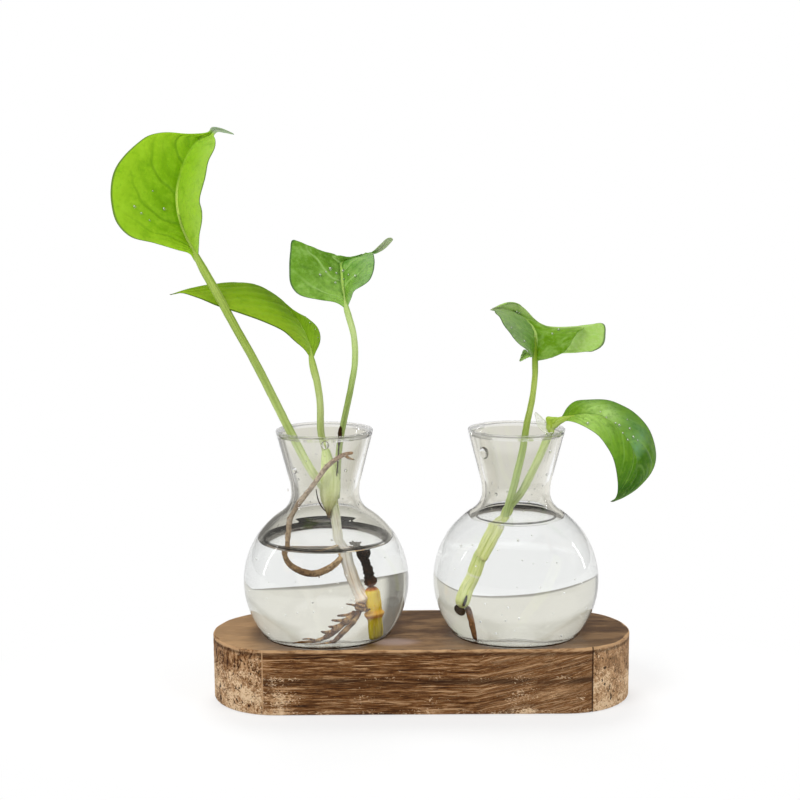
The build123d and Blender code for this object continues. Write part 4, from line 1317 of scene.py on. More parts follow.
# Leaves ----------------------------------------

# Each row goes from one margin over the midrib to the other: pixels across and down, then the depth
# in millimetres behind the leaf's base
LEAVES = {}
LEAVES["left_tall_leaf"] = dict(
    base_depth=-8.4, crease=0.7, belly=(1.6, 0.5),
    rows=(
        ((198.4, 267, 0.6), (198.8, 266.8, 0.6), (199.2, 266.6, 0.6)),
        ((194, 260.5, 0), (196.8, 259, 0.3), (198.3, 258.5, 0)),
        ((189.5, 253.8, -1.5), (194.2, 251.5, 0.5), (198.2, 251.5, -1.5)),
        ((177, 250, -3), (190, 244, 0.9), (199, 243, -4)),
        ((154.5, 243.3, -5.5), (186, 236, 1.5), (199.8, 234, -6.5)),
        ((130.5, 236.8, -8.7), (181.6, 225, 2.6), (201.4, 222, -10)),
        ((116.5, 222.5, -10), (178.7, 214, 3.4), (201.6, 210.5, -11.5)),
        ((111.3, 203.5, -10), (177, 201.5, 4), (200, 200, -12)),
        ((111, 184, -7.8), (177.4, 188.5, 5), (202.6, 186, -11.5)),
        ((115, 169, -5), (179.6, 177, 6.2), (205.4, 174.5, -9.8)),
        ((124.5, 155.2, -2.5), (183, 165.5, 7.6), (208.2, 163, -7)),
        ((138, 142.4, 1.5), (188, 154, 9.2), (211.6, 154.5, -3)),
        ((150, 135.2, 4.5), (193.5, 145, 10.6), (214.5, 147.5, 2)),
        ((167, 132.3, 7), (200, 138.8, 11.6), (215.6, 142.5, 6)),
        ((190, 133.4, 10), (207, 136, 12), (215, 138.5, 9.5)),
        ((207.5, 132, 12), (211.3, 133.2, 12.2), (214, 135.2, 11)),
        ((211.5, 127.2, 12.3), (215, 129.2, 12.4), (217.5, 132, 12)),
        ((220.5, 128, 12), (222.5, 130.4, 12.2), (224, 132.8, 12)),
        ((232.5, 133.2, 11.5), (233.5, 134, 11.5), (234, 134.8, 11.5)),
    ),
    near=((0, 132, 168, 20), (0.3, 120, 168, 4), (0.6, 126, 174, 4), (1, 136, 178, 30)),
    near_edge=paint(146, 188, 30),
    far=((0, 150, 184, 50), (0.35, 150, 190, 50), (0.6, 140, 186, 34), (1, 158, 198, 76)),
    far_edge=paint(156, 194, 74), light=paint(160, 202, 44), deep=paint(98, 148, 0), vein=paint(84, 132, 0),
    vein_share=0.45, far_veins=0.15, rib=paint(190, 214, 96), rib_end=0.55, margin=paint(84, 106, 44),
    tip=paint(152, 170, 138), under=paint(160, 188, 100), rib_width=0.045, veins=6, sweep=0.34, tip_from=0.85,
    rough=0.42, shine=0.2,
    drops=((135.8, 205.5, 1.1), (140.8, 212.5, 0.9), (164.7, 209.5, 1.2), (150, 220, 0.6), (152, 190, 0.6)),
)
LEAVES["left_side_leaf"] = dict(
    base_depth=2.1, crease=0.85, belly=(1.6, 0.6), rib_groove=0.3,
    rows=(
        ((311.2, 359.5, 0), (312, 360, 0), (313, 359, 0)),
        ((308, 354.5, -1.5), (311.3, 353, 0.6), (316, 352, 1.6)),
        ((304.5, 350, -3), (310, 346.5, 2), (319.5, 344.5, 4.5)),
        ((299.5, 344.8, -5), (307, 337.5, 5), (320.2, 336, 8)),
        ((292, 338.3, -7), (302, 327, 9), (316.5, 325.5, 12)),
        ((281, 330, -9.5), (295.5, 317.5, 13), (307.5, 317.8, 15)),
        ((263, 321, -12), (287.5, 307.5, 15), (293, 311, 18)),
        ((241, 314, -13), (274.5, 295, 16), (277, 299, 20)),
        ((219, 306, -13), (255, 284.6, 15), (256.5, 288.5, 19)),
        ((200, 299, -12), (228, 282.6, 9), (229, 286, 13)), ((186, 293.6, -11), (203, 286, 0), (203.5, 288.5, 3)),
        ((177, 293, -10.8), (184, 290, -6.5), (184.5, 291.4, -5)),
        ((169.5, 294.4, -10.8), (170, 294.6, -10.8), (170.6, 295, -10.8)),
    ),
    near=(
        (0, 146, 180, 56), (0.12, 152, 186, 70), (0.35, 118, 158, 8), (0.65, 112, 150, 0), (1, 118, 148, 20),
    ),
    near_edge=paint(136, 168, 28),
    far=((0, 140, 174, 44), (0.2, 126, 164, 30), (0.35, 116, 156, 10), (1, 110, 146, 4)),
    far_edge=paint(124, 160, 40), light=paint(134, 170, 30), deep=paint(96, 136, 0), vein=paint(98, 138, 0),
    vein_share=0.3, far_veins=0.6, rib=paint(176, 204, 96), rib_end=0.42, margin=paint(60, 80, 20),
    tip=paint(84, 76, 66), under=paint(140, 170, 80), rib_width=0.03, veins=6, sweep=0.3, tip_from=0.955,
    rough=0.45, shine=0.2, drops=((309.9, 322.9, 0.7), (315, 330, 0.6), (306, 316, 0.6), (318, 338, 0.5)),
)
LEAVES["left_small_leaf"] = dict(
    base_depth=0.9, crease=0.7, belly=(1.2, 0.8),
    rows=(
        ((345.2, 309.5, 0), (346, 310, 0), (347, 309.5, 0)),
        ((342, 306, -0.7), (345.8, 306.5, 0.6), (349, 303.5, -0.7)),
        ((335, 302.5, -1.2), (345.4, 302, 1.4), (351.5, 297, -1.6)),
        ((319, 299.8, -2), (344.6, 296.5, 2.8), (354, 291.5, -2.8)),
        ((299.5, 294.8, -3), (343.4, 289, 4.4), (362, 286, -4.2)),
        ((290.5, 284, -2.2), (342.6, 281, 6.2), (369.5, 279.5, -4.8)),
        ((289.2, 268, 0), (342, 274.5, 7.9), (373.8, 270.5, -4)),
        ((290.2, 251.5, 4), (341.6, 269, 10), (374.6, 262.5, -0.5)),
        ((292.6, 240.2, 7), (341, 264.5, 12), (374.3, 258, 4)),
        ((304, 245.2, 9.5), (343, 262, 13), (374, 255.8, 8)),
        ((322, 252.5, 12.5), (348, 260.5, 14.2), (373.6, 254.6, 11.5)),
        ((337, 259.8, 15), (358, 257.8, 15.8), (373.5, 253.8, 14)),
        ((355, 256.8, 16.5), (366, 254.6, 16.9), (373.6, 253.2, 16)),
        ((370.5, 252.3, 17.4), (373, 252.6, 17.6), (375.6, 253.8, 17.2)),
        ((379, 245.5, 17.6), (381.5, 247.3, 17.8), (384, 249.5, 17.6)),
        ((387.3, 238.2, 17.6), (389.6, 239.6, 17.8), (391.8, 241.6, 17.6)),
        ((390.6, 237.5, 17.6), (392.2, 238.4, 17.6), (393.2, 239.6, 17.6)),
    ),
    near=((0, 150, 188, 84), (0.22, 140, 182, 76), (0.42, 96, 142, 20), (0.6, 88, 136, 16), (1, 92, 130, 60)),
    near_edge=paint(104, 150, 34),
    far=((0, 130, 168, 50), (0.3, 118, 164, 60), (0.55, 88, 140, 44), (1, 78, 124, 50)),
    # far_edge is a painted sheen: a pale bluish tint along the far margin.
    far_edge=paint(134, 172, 104), light=paint(158, 198, 104), deep=paint(58, 104, 14), vein=paint(166, 202, 116),
    vein_share=0.55, far_veins=0.8, rib=paint(174, 206, 100), rib_end=0.6, margin=paint(64, 92, 54),
    tip=paint(150, 164, 124), under=paint(150, 180, 110), rib_width=0.05, veins=5, sweep=0.3, tip_from=0.83,
    rough=0.3, shine=0.4,
    drops=(
        (329.8, 269.2, 1.5), (342.7, 271.2, 1.2), (355.7, 276.1, 1.2), (334.8, 283.1, 1), (319.9, 275.1, 1.1),
        (337, 273, 0.9), (326, 272.5, 0.8), (349, 275, 0.8), (343.5, 279, 0.7),
    ),
)
LEAVES["right_top_leaf"] = dict(
    base_depth=0.0, crease=0.75, belly=(0.8, 0.0), folds=(0, 0.5, 0.62, 0.74, 0.76, 1),
    rows=(
        ((533.5, 360, 0), (535, 361, 0), (536, 361, -0.3), (537, 360.8, -0.5), (537.4, 360.6, -0.3),
         (538, 360.5, 0)),
        ((527.5, 351, -4), (535, 351, 0.8), (545, 358.6, -4.5), (556, 355.8, -6.8), (556.5, 355.2, -5.8),
         (557.5, 354.3, -4)),
        ((520, 344.5, -6.5), (535.3, 343.5, 2), (551, 353, -5), (566, 350.2, -7), (565, 350, -4.5),
         (583, 352, -1)),
        ((513, 337.5, -8.8), (535.3, 337.3, 3.6), (555, 345.5, -3), (571, 343, -5.5), (569.5, 343.2, -2.5),
         (594, 351, 1)),
        ((508, 330.5, -10), (534.3, 331, 5), (556.5, 339, -0.5), (574.5, 336.8, -3), (573, 337, 0),
         (602.6, 345.5, 3)),
        ((503, 323, -10.9), (531.5, 325.5, 7), (556, 333.5, 3.5), (578.5, 331.5, 0.5), (577, 331.6, 3.4),
         (605.5, 336, 6.2)),
        ((499, 316.8, -9.9), (526.5, 319.5, 8.8), (551, 328.5, 8), (583, 327.8, 5.5), (582, 327, 7.4),
         (603.4, 323.6, 11.5)),
        ((495.7, 312.4, -8.3), (519.5, 314.6, 9.2), (541, 324.5, 11.5), (557.5, 328.4, 12), (559, 328.3, 12.6),
         (583, 325.8, 14.5)),
        ((494, 310.8, -6.6), (511.5, 311.2, 7), (527, 313.3, 10), (539.5, 323.4, 13.3), (540, 323.6, 13.5),
         (541.5, 324.4, 14.5)),
        ((492.5, 310.2, -4.2), (503, 309.4, 3), (510.5, 303.8, 5.5), (520.5, 305.8, 9.5), (521, 306, 9.7),
         (522, 306.4, 10)),
        ((491.8, 310, -3), (496.5, 308.7, -1), (500.5, 306.2, 0.5), (507, 303.2, 2.5), (507.4, 303.1, 2.6),
         (508, 303, 2.8)),
        ((490.3, 309.6, -3), (490.8, 309.2, -2.6), (491.5, 309, -2.3), (492.2, 308.8, -2), (492.3, 308.8, -2),
         (492.5, 308.8, -1.9)),
    ),
    lobe=(
        ((529, 353, 2.5), (531, 354.5, 3), (533, 357, 2.5)),
        ((524, 349.5, 3.5), (525.5, 353.5, 4.5), (528.5, 357.5, 4)),
        ((521.5, 354, 4.5), (522.5, 357, 5), (524.5, 359.5, 5)),
        ((519.3, 361, 5.5), (519.8, 361.4, 5.6), (520.4, 361.6, 5.6)),
    ),
    near=(
        (0, 108, 146, 20), (0.2, 96, 142, 40), (0.5, 120, 158, 80), (0.75, 156, 180, 112), (1, 160, 172, 132),
    ),
    near_edge=paint(132, 158, 106),
    far=(
        (0, 92, 134, 0), (0.3, 96, 140, 2), (0.5, 104, 148, 6), (0.66, 136, 170, 70), (0.8, 160, 186, 108),
        (1, 164, 178, 130),
    ),
    light=paint(152, 188, 96), deep=paint(70, 114, 0), vein=paint(142, 180, 92), vein_share=0.25, far_veins=0.5,
    rib=paint(164, 192, 100), rib_end=0.62, margin=paint(78, 98, 58), tip=paint(150, 142, 136),
    under=paint(156, 192, 100), rib_width=0.04, veins=5, sweep=0.3, tip_from=0.96, rough=0.34, shine=0.35,
    drops=(
        (516.6, 311, 1), (519.2, 312.8, 0.9), (524.4, 340.8, 1), (557.7, 331, 1.1), (553, 334, 0.9),
        (511.5, 328, 0.7),
    ),
    flap=(0.752, 158, 194, 92),
)
LEAVES["right_drooping_leaf"] = dict(
    base_depth=0.0, crease=0.6, belly=(0.8, 1.2),
    rows=(
        ((561, 422, 0), (560.3, 420.8, 0), (559.8, 419, 0)),
        ((566, 421, -0.8), (565, 418, 0.3), (562.4, 415.2, 1)),
        ((571, 421.6, -2), (571, 416, 0.3), (566, 408.6, 3)),
        ((577.5, 423.4, -3.6), (579, 414.2, 0), (573, 402.6, 5)),
        ((587, 428, -5.9), (591, 414, -2), (584, 399.5, 7)),
        ((598.3, 435.8, -7.9), (606, 418, -4), (599, 399.2, 8)),
        ((606.6, 446.3, -9.9), (619, 428, -5.3), (616, 402.6, 8)),
        ((612.6, 457.3, -11.2), (630, 443, -7.3), (633.5, 411.5, 6.5)),
        ((616, 469.3, -11.9), (637, 459.5, -9.2), (650.3, 432, 4)),
        ((617.5, 481, -11.9), (636.5, 475.5, -9.9), (656.6, 455.5, 0)),
        ((617.8, 489, -11.9), (631, 486.5, -10.6), (651, 473, -3.5)),
        ((617, 494.5, -11.9), (624.5, 492.5, -11.2), (638.5, 487.8, -8)),
        ((614.5, 499.3, -11.9), (617.5, 498.7, -11.5), (624.5, 497.2, -10)),
        ((610.3, 501.6, -11.9), (611.5, 501.9, -11.9), (613.3, 502, -11.7)),
    ),
    # Painted highlight and sheen: the pale band a quarter of the way along the near half and a third along the
    # far half, and the bluish band past halfway on the far half.
    near=(
        (0, 130, 168, 30), (0.25, 170, 206, 104), (0.45, 108, 152, 42), (0.6, 80, 126, 16), (0.8, 46, 92, 0),
        (1, 76, 104, 46),
    ),
    far=(
        (0, 104, 144, 12), (0.18, 122, 162, 40), (0.33, 176, 210, 122), (0.45, 118, 160, 70),
        (0.53, 98, 144, 76), (0.58, 106, 150, 104), (0.64, 60, 104, 0), (0.82, 46, 92, 0), (1, 80, 110, 54),
    ),
    far_edge=paint(84, 126, 34), light=paint(118, 158, 40), deep=paint(52, 96, 0), vein=paint(150, 186, 98),
    vein_share=0.25, far_veins=0.8, rib=paint(156, 190, 90), rib_end=0.45, margin=paint(60, 80, 40),
    tip=paint(96, 106, 84), under=paint(130, 164, 92), rib_width=0.03, veins=6, sweep=0.3, tip_from=0.955,
    rough=0.3, shine=0.2,
    drops=(
        (587.6, 423.6, 1.2), (606, 418, 0.8), (619, 424.8, 1.1), (615, 423.5, 0.8), (630, 429, 1),
        (633, 437, 1.1), (628, 439.5, 1), (622, 433, 0.8), (638, 441, 0.8), (601, 412, 0.7), (627, 420, 0.7),
    ),
)


def leaf_surface(leaf, rows_wanted=120, half=26):
    """The blade's upper side as a grid of points, with its normals and its places across and along."""
    depth = leaf["base_depth"]
    marks = np.array([[seen(x, y, depth + z) for x, y, z in row] for row in leaf["rows"]], float)
    count, columns = marks.shape[:2]
    folds = leaf.get("folds", (0, 0.5, 1))
    times = chord_times(marks[:, 1]) + 0.5 * chord_times(marks[:, 0]) + 0.5 * chord_times(marks[:, -1])
    wanted = np.linspace(0, times[-1], rows_wanted)
    lines = through(times, marks.reshape(count, -1), wanted).reshape(rows_wanted, columns, 3)
    share = np.concatenate((np.linspace(0, 0.5, half)[:-1], np.linspace(0.5, 1, half)))
    grid = np.zeros((rows_wanted, len(share), 3))
    crease = leaf.get("crease", 0.5)
    for i, line in enumerate(lines):
        steps = np.maximum(np.linalg.norm(np.diff(line, axis=0), axis=1), 1e-3)
        run = np.concatenate(([0], np.cumsum(steps)))
        places = np.interp(share, folds, run)
        soft = through(run, line, places)
        near = share <= 0.5
        sharp = np.array(soft)
        sharp[near] = through(run[:2], line[:2], places[near])
        sharp[~near] = through(run[1:], line[1:], places[~near])
        grid[i] = (1 - crease) * soft + crease * sharp
    over = np.zeros((rows_wanted, len(share), 2))
    over[..., 0] = share[None, :]
    over[..., 1] = (wanted / times[-1])[:, None]
    normals = surface_normals(grid)
    side = np.abs(over[..., 0] * 2 - 1)
    belly = np.where(over[..., 0] < 0.5, *leaf.get("belly", (0.0, 0.0))) * 4 * side * (1 - side)
    belly *= np.sin(pi * np.clip(over[..., 1] * 1.1, 0, 1))
    grid = grid + normals * belly[..., None]
    return grid, surface_normals(grid), over


def surface_normals(grid):
    """The directions off a grid's skin, turned to the side of the viewer."""
    normals = np.cross(np.gradient(grid, axis=1), np.gradient(grid, axis=0))
    normals /= np.maximum(np.linalg.norm(normals, axis=2), 1e-9)[..., None]
    return -normals if normals[..., 1].mean() > 0 else normals


def leaf_relief(over, leaf):
    """How far the upper side stands off its smooth shape: grooves at the rib and the side veins."""
    side = over[..., 0] * 2 - 1
    along = over[..., 1]
    reach = np.abs(side)
    phase = (along - leaf["sweep"] * reach**1.25) * leaf["veins"] + 0.45 * (side > 0)
    from_vein = np.abs(phase % 1 - 0.5)
    fade = np.clip((1 - reach) * 2.2, 0, 1) * np.clip(along * 8, 0, 1)
    fade = fade * np.where(side > 0, leaf["far_veins"], 1)
    pillow = 0.34 * np.sin(pi * np.clip(from_vein * 2, 0, 1)) * fade
    grooves = -0.22 * np.exp(-((from_vein / 0.1) ** 2)) * fade
    rib = -0.4 * np.exp(-((reach / 0.06) ** 2)) * np.clip(along * 12, 0, 1) * leaf.get("rib_groove", 1)
    wave = 0.25 * reach**5 * np.sin(along * 31 + side * 2) * np.clip((0.9 - along) * 6, 0, 1)
    return (pillow + grooves + rib + wave) * np.clip((0.97 - along) * 8, 0, 1)


def blade(name, leaf, look, finishes):
    """One closed blade with its upper side, its underside and the thin edge between them."""
    grid, normals, over = leaf_surface(leaf)
    upper = grid + normals * leaf_relief(over, leaf)[..., None]
    edge = np.minimum(over[..., 0], 1 - over[..., 0]) * 14
    thick = look.blade / MM * (0.4 + 0.6 * np.clip(edge, 0, 1))
    lower = upper - normals * thick[..., None]
    facing = np.cross(upper[1:, :-1] - upper[:-1, :-1], upper[:-1, 1:] - upper[:-1, :-1])
    flip = float((facing * normals[:-1, :-1]).sum()) > 0
    shape = Shape()
    shape.grid(upper, 0, flip=flip, over=over)
    shape.grid(lower, 1, flip=not flip, over=over)
    for top, bottom, place, turned in (
        (upper[0], lower[0], over[0], flip), (upper[-1], lower[-1], over[-1], not flip),
        (upper[:, 0], lower[:, 0], over[:, 0], not flip), (upper[:, -1], lower[:, -1], over[:, -1], flip),
    ):
        shape.grid(np.stack([bottom, top]), 0, flip=turned, over=np.stack([place, place]))
    return weld(shape.build(name, finishes)), upper, normals


def dew_finish(name, share):
    """A drop on a leaf: clear, with a share of opaque pale colour as a painted reflection of the bright sky; at a
    share of 1 it is a painted glint.
    """
    make = Finish(name)
    speck = make.noise(make.place(), 1.2, 2)
    rough = make.step(speck, 0, 1, 0, 0.05)
    clear = make.gloss(Base_Color=(1, 1, 1), Roughness=rough, IOR=WATER_IOR, Transmission_Weight=1.0)
    bright = make.gloss(Base_Color=paint(250, 254, 244), Roughness=0.1)
    return make.finish(make.blend(share, clear, bright))


# The side of a drop on which a small pale ball sits as the painted glint of the lamps
GLINT = Vector((-0.35, -0.7, 0.6)).normalized()


def build_leaf(node, leaf, look):
    """One leaf with its drops, each drop at its pixel on the blade and with a small pale ball as its painted
    glint.
    """
    finishes = [leaf_finish(node + "_upper", leaf), leaf_finish(node + "_under", leaf, under=True)]
    body = node.split("_")[0] + "_cutting"
    piece, upper, normals = blade(node + "_blade", leaf, look, finishes)
    settle(piece, body, "leaf", node)
    if "lobe" in leaf:
        lobe = {**leaf, "rows": leaf["lobe"], "folds": (0, 0.5, 1), "veins": 3, "belly": (0.2, 0.2)}
        settle(blade(node + "_lobe", lobe, look, finishes)[0], body, "leaf")
    dew = Shape()
    for across, down, size in leaf["drops"]:
        start, step = np.array(seen(across, down, 0)), np.array(seen(across, down, 1) - seen(across, down, 0))
        off = np.linalg.norm(upper - start - step * upper[..., 1:2], axis=2)
        i, j = np.unravel_index(np.argmin(off), off.shape)
        out = normals[i, j] if normals[i, j][1] < 0 else -normals[i, j]
        radius = size * look.dew / MM
        spot = Vector(upper[i, j] + out * radius * 0.3)
        dew.ball(spot, radius, out, 0.75)
        # A painted glint: a small opaque pale ball on the lamps' side of the drop.
        dew.ball(spot + GLINT * radius * 0.72, radius * 0.36, GLINT, 0.6, finish=1, sides=8)
    finishes = [dew_finish(node + "_dew_clear", 0.12), dew_finish(node + "_dew_glint", 1)]
    settle(dew.build(node + "_dew", finishes), body, "glass")


def build_sheath(look):
    """The papery sheath at the rim, and the broad green wing of the drooping leaf's stalk beside it."""
    make = Finish("right_sheath_papery")
    lines = make.step(make.noise(make.place((0.4, 1, 1)), 2.2, 4, 0.6), 0.4, 0.7)
    edge = make.step(make.apart(make.across_along()[0], 0.5), 0.36, 0.46)
    surface = make.gloss(
        Base_Color=make.mix(lines, look.sheath, paint(214, 220, 190)),
        Roughness=make.step(lines, 0, 1, 0.35, 0.5), Normal=make.bump(lines, 0.5, 0.1), Specular_IOR_Level=0.3,
    )
    clear = make.node("BsdfTransparent").outputs[0]
    solid = make.plus(make.times(edge, 0.5), make.step(lines, 0, 1, 0.3, 0.45))
    film = make.finish(make.blend(solid, clear, surface))
    rows = (
        ((553, 432.5, -2.2), (549.5, 431, -1), (546.5, 428.5, 0.4)),
        ((548.5, 433.5, -2.2), (546.5, 428, -0.6), (545.6, 421.5, 0.8)),
        ((543, 431.5, -2), (541.5, 424.5, 0), (541.3, 416.5, 1)),
        ((537.5, 425, -1.6), (537.3, 418.5, 0), (537.6, 413.2, 0.8)),
        ((534.5, 414, 0), (535, 412.8, 0.2), (535.6, 411.8, 0.4)),
    )
    settle(thin_sheet("right_sheath_skin", rows, film, 0.16), "right_cutting", "sheath", "right_sheath")
    wing = (
        ((546.8, 436.5, -1.4), (548.3, 436, -1.6), (549.8, 434.8, -1.4)),
        ((546.6, 430, -0.6), (550, 430.2, -2), (553.5, 428.6, -1.2)),
        ((546.2, 422.5, 0), (551.8, 424.5, -2.2), (558, 423.2, -1.1)),
        ((546, 417.2, 0.6), (554, 420, -2), (562, 420.6, -0.8)),
        ((551, 416.4, 0.8), (558.5, 417.4, -1), (566, 418.6, -0.4)),
    )
    green = ((0, 168, 186, 66), (0.5, 160, 186, 56), (1, 168, 196, 76))
    finish = stalk_finish("right_wing_green", green, paint(196, 214, 130), 0.3)
    settle(thin_sheet("right_stalk_wing", wing, finish, 0.5, 0.1), "right_cutting", "stalk")


# Stage ----------------------------------------


def seen_rays(make):
    """1 for the rays that see the stage directly, in a gloss or through glass."""
    path = make.node("LightPath")
    straight = make.sum("MAXIMUM", path.outputs["Is Camera Ray"], path.outputs["Is Glossy Ray"])
    return make.sum("MAXIMUM", straight, path.outputs["Is Transmission Ray"])


def floor_finish(colour):
    """White to the viewer far from the object, with the object's soft shadow near it."""
    make = Finish("floor_pale")
    speck = make.noise(make.place(), 0.05, 2)
    rough = make.step(speck, 0, 1, 0.85, 0.95)
    skin = make.gloss(Base_Color=colour, Roughness=rough, Specular_IOR_Level=0.1)
    glow = make.node("Emission", {0: (1, 1, 1), 1: 1.0}).outputs[0]
    away = make.node("VectorMath", {0: make.place((1, 1.6, 1))}, operation="LENGTH").outputs["Value"]
    share = make.times(seen_rays(make), make.step(away, 105, 240, 0.6, 1.0))
    return make.finish(make.blend(share, skin, glow))


def wall_finish(look):
    """The room as the glass shows it: pale behind, darker low down, dark at one side and in front."""
    make = Finish("room_wall_pale")
    x, y, z = make.spot()
    turn = make.sum("ARCTAN2", y, x)

    def sector(start, full, fading, end):
        """A share for the directions between start and end in degrees, whole between full and fading."""
        opening = make.step(turn, radians(start), radians(full))
        return make.times(opening, make.step(turn, radians(end), radians(fading)))

    rise = make.plus(z, make.times(make.minus(y, 283), 0.17))
    cloud = make.noise(make.place((0.01, 0.01, 0.03)), 1.0, 3)
    tone = make.mix(make.step(rise, 30, 46), look.wall_high, look.wall_low)
    tone = make.mix(make.step(rise, 54, 62), tone, look.wall)
    tone = make.mix(make.step(rise, 90, 130), tone, look.wall_high)
    tone = make.mix(make.step(cloud, 0.35, 0.65, 0, 0.12), tone, look.wall_low)
    tone = make.mix(make.step(z, 3.5, 1.5, 0, 0.6), tone, look.wall_dark)
    light = make.minus(1, make.times(sector(137, 139, 142, 144), 0.75))
    dark = make.times(sector(118, 124, 168, 176), light)
    tone = make.mix(make.times(dark, 0.85), tone, look.wall_dark)
    tone = make.mix(make.step(make.sum("SINE", turn), 0.1, -0.35), tone, look.wall_front)
    scattered = make.step(make.node("LightPath").outputs["Diffuse Depth"], 0.4, 0.6)
    tone = make.mix(scattered, tone, (1, 1, 1))
    return make.finish(make.node("Emission", {0: tone, 1: 1.0}).outputs[0])


def soft_lamp(name, place, aim, size, strength, height=None):
    """A round lamp, or a tall narrow one that only glosses show."""
    light = bpy.data.lights.new(name, "AREA")
    light.shape = "RECTANGLE" if height else "DISK"
    light.size = size
    light.size_y = height or size
    light.energy = strength
    lamp = place_object(name, light)
    lamp.location = place
    lamp.rotation_euler = (Vector(aim) - Vector(place)).to_track_quat("-Z", "Y").to_euler()
    lamp.visible_transmission = False
    lamp.visible_glossy = bool(height)
    lamp.visible_diffuse = not height


def stage_mesh(name, points, faces, finish):
    mesh = bpy.data.meshes.new(name)
    mesh.from_pydata(points, [], faces)
    mesh.materials.append(finish)
    thing = place_object(name, mesh)
    return thing


def build_floor(look):
    reach, drop = 14.0, -0.0002
    corners = [(-reach, -reach, drop), (reach, -reach, drop), (reach, reach, drop), (-reach, reach, drop)]
    stage_mesh("floor", corners, [(0, 1, 2, 3)], floor_finish(look.floor))


def room_reach(turn):
    """How far the room's wall stands off in a direction: flat behind the object, nearer at the left."""
    towards = sin(turn) - 0.42 * cos(turn)
    return min(0.33, 0.246 / towards) if towards > 0 else 0.33


def build_room_wall(look):
    """A wall round the object that only rays through the glass see."""
    height, sides = 0.62, ROOM_SIDES
    turns = [2 * pi * j / sides for j in range(sides)]
    ring = [(room_reach(turn) * cos(turn), room_reach(turn) * sin(turn)) for turn in turns]
    points = [(x, y, z) for z in (0.0, height) for x, y in ring]
    faces = [(j, (j + 1) % sides, sides + (j + 1) % sides, sides + j) for j in range(sides)]
    room = stage_mesh("room_wall", points, faces, wall_finish(look))
    for rays in ("camera", "diffuse", "glossy", "shadow", "volume_scatter"):
        setattr(room, "visible_" + rays, False)


def build_sky(look):
    """White for the rays that see it directly or through glass, and a plain even light for the rest."""
    make = Finish("studio", bpy.data.worlds.new("studio"))
    path = make.node("LightPath")
    direct = make.sum("MAXIMUM", path.outputs["Is Camera Ray"], path.outputs["Is Transmission Ray"])
    glossy = make.times(path.outputs["Is Glossy Ray"], look.gloss - look.sky)
    strength = make.sum("MAXIMUM", direct, make.plus(glossy, look.sky))
    make.node("OutputWorld", {0: make.node("Background", {0: (1, 1, 1), 1: strength}).outputs[0]})
    bpy.context.scene.world = make.owner


def build_camera():
    data = bpy.data.cameras.new("camera")
    data.sensor_width = SENSOR
    data.lens = CAMERA_FOCUS * SENSOR / PICTURE
    data.clip_start, data.clip_end = 0.01, 60
    camera = place_object("camera", data)
    turn = Matrix.Rotation(pi / 2 - CAMERA_PITCH, 4, "X") @ Matrix.Rotation(CAMERA_ROLL, 4, "Z")
    camera.matrix_world = Matrix.Translation(CAMERA_PLACE * MM) @ turn
    bpy.context.scene.camera = camera


def build_stage(look):
    build_floor(look)
    build_room_wall(look)
    soft_lamp("key_lamp", (-0.75, -0.75, 1.05), (0, 0, 0.1), 0.7, look.key)
    soft_lamp("fill_lamp", (0.95, -0.6, 0.7), (0, 0, 0.1), 0.8, look.fill)
    soft_lamp("top_lamp", (-0.1, 0.75, 1.1), (0, 0, 0.05), 0.7, look.top)
    soft_lamp("left_strip", (-0.9, 0.05, 0.35), (0, 0, 0.1), 0.035, look.strip, 0.5)
    soft_lamp("right_strip", (0.9, 0.28, 0.3), (0, 0, 0.1), 0.03, look.strip, 0.4)
    build_sky(look)
    build_camera()
    bpy.context.scene.view_settings.view_transform = "Standard"


# Operators and panel ----------------------------------------


class VASE_OT_board(bpy.types.Operator):
    """Build the worn wooden board with its two recesses"""

    bl_idname = "vase.board"
    bl_label = "Board"

    def execute(self, context):
        build_board(context.scene.board_look)
        return {"FINISHED"}


class VASE_OT_glasses(bpy.types.Operator):
    """Build the two blown glass vases"""

    bl_idname = "vase.glasses"
    bl_label = "Glass vases"

    def execute(self, context):
        look = context.scene.vase_look
        build_glass("left", LEFT, look)
        build_glass("right", RIGHT, look)
        return {"FINISHED"}


class VASE_OT_water(bpy.types.Operator):
    """Fill both vases with water, drops and bubbles"""

    bl_idname = "vase.water"
    bl_label = "Water"

    def execute(self, context):
        look = context.scene.vase_look
        build_water("left", LEFT, look.left_level / MM, look.left_climb / MM, (2.2, 8), look)
        build_water("right", RIGHT, look.right_level / MM, look.right_climb / MM, (3.6, 4.5), look)
        build_drops(look)
        return {"FINISHED"}


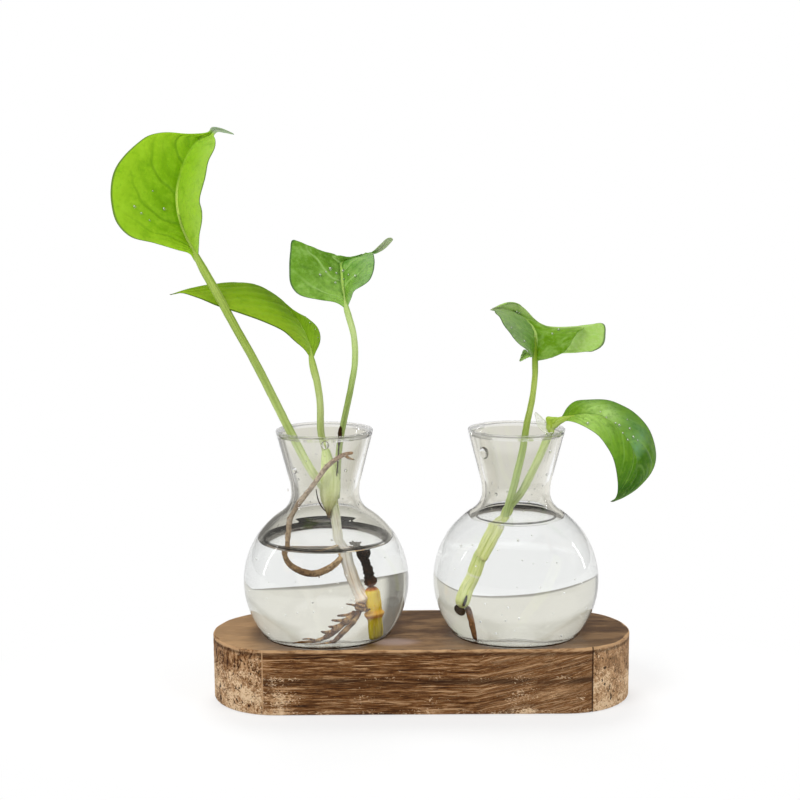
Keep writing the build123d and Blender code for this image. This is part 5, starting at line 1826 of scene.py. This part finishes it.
class VASE_OT_stems(bpy.types.Operator):
    """Build the stalks, the shoot, the cane and the vine"""

    bl_idname = "vase.stems"
    bl_label = "Stems"

    def execute(self, context):
        look = context.scene.cutting_look
        build_stalks("left", LEFT)
        build_left_shoot()
        build_left_cane(look)
        build_dry_tip(look)
        build_vine()
        build_stalks("right", RIGHT)
        return {"FINISHED"}


class VASE_OT_roots(bpy.types.Operator):
    """Build the brown roots"""

    bl_idname = "vase.roots"
    bl_label = "Roots"

    def execute(self, context):
        build_roots(context.scene.cutting_look)
        return {"FINISHED"}


class VASE_OT_leaves(bpy.types.Operator):
    """Build the five leaves with their dew, and the papery sheath"""

    bl_idname = "vase.leaves"
    bl_label = "Leaves"

    def execute(self, context):
        look = context.scene.cutting_look
        for node, leaf in LEAVES.items():
            build_leaf(node, leaf, look)
        build_sheath(look)
        return {"FINISHED"}


class VASE_OT_stage(bpy.types.Operator):
    """Set the floor, the room seen through the glass, the lamps and the camera"""

    bl_idname = "vase.stage"
    bl_label = "Stage"

    def execute(self, context):
        build_stage(context.scene.stage_look)
        return {"FINISHED"}


STEPS = (
    VASE_OT_stage, VASE_OT_board, VASE_OT_glasses, VASE_OT_water, VASE_OT_stems, VASE_OT_roots, VASE_OT_leaves,
)


class VASE_PT_panel(bpy.types.Panel):
    """Lists the steps that build the vase"""

    bl_idname = "VASE_PT_panel"
    bl_label = "Propagation vase"
    bl_space_type = "VIEW_3D"
    bl_region_type = "UI"
    bl_category = "Vase"

    def draw(self, context):
        for step in STEPS:
            self.layout.operator(step.bl_idname)


LOOKS = {"board_look": BoardLook, "vase_look": VaseLook, "cutting_look": CuttingLook, "stage_look": StageLook}


def register():
    for kind in (*LOOKS.values(), *STEPS, VASE_PT_panel):
        bpy.utils.register_class(kind)
    for name, kind in LOOKS.items():
        setattr(bpy.types.Scene, name, PointerProperty(type=kind))


def unregister():
    for name in LOOKS:
        delattr(bpy.types.Scene, name)
    for kind in (VASE_PT_panel, *reversed(STEPS), *LOOKS.values()):
        bpy.utils.unregister_class(kind)


def main():
    register()
    bpy.ops.vase.stage()
    bpy.ops.vase.board()
    bpy.ops.vase.glasses()
    bpy.ops.vase.water()
    bpy.ops.vase.stems()
    bpy.ops.vase.roots()
    bpy.ops.vase.leaves()


if __name__ == "__main__":
    main()
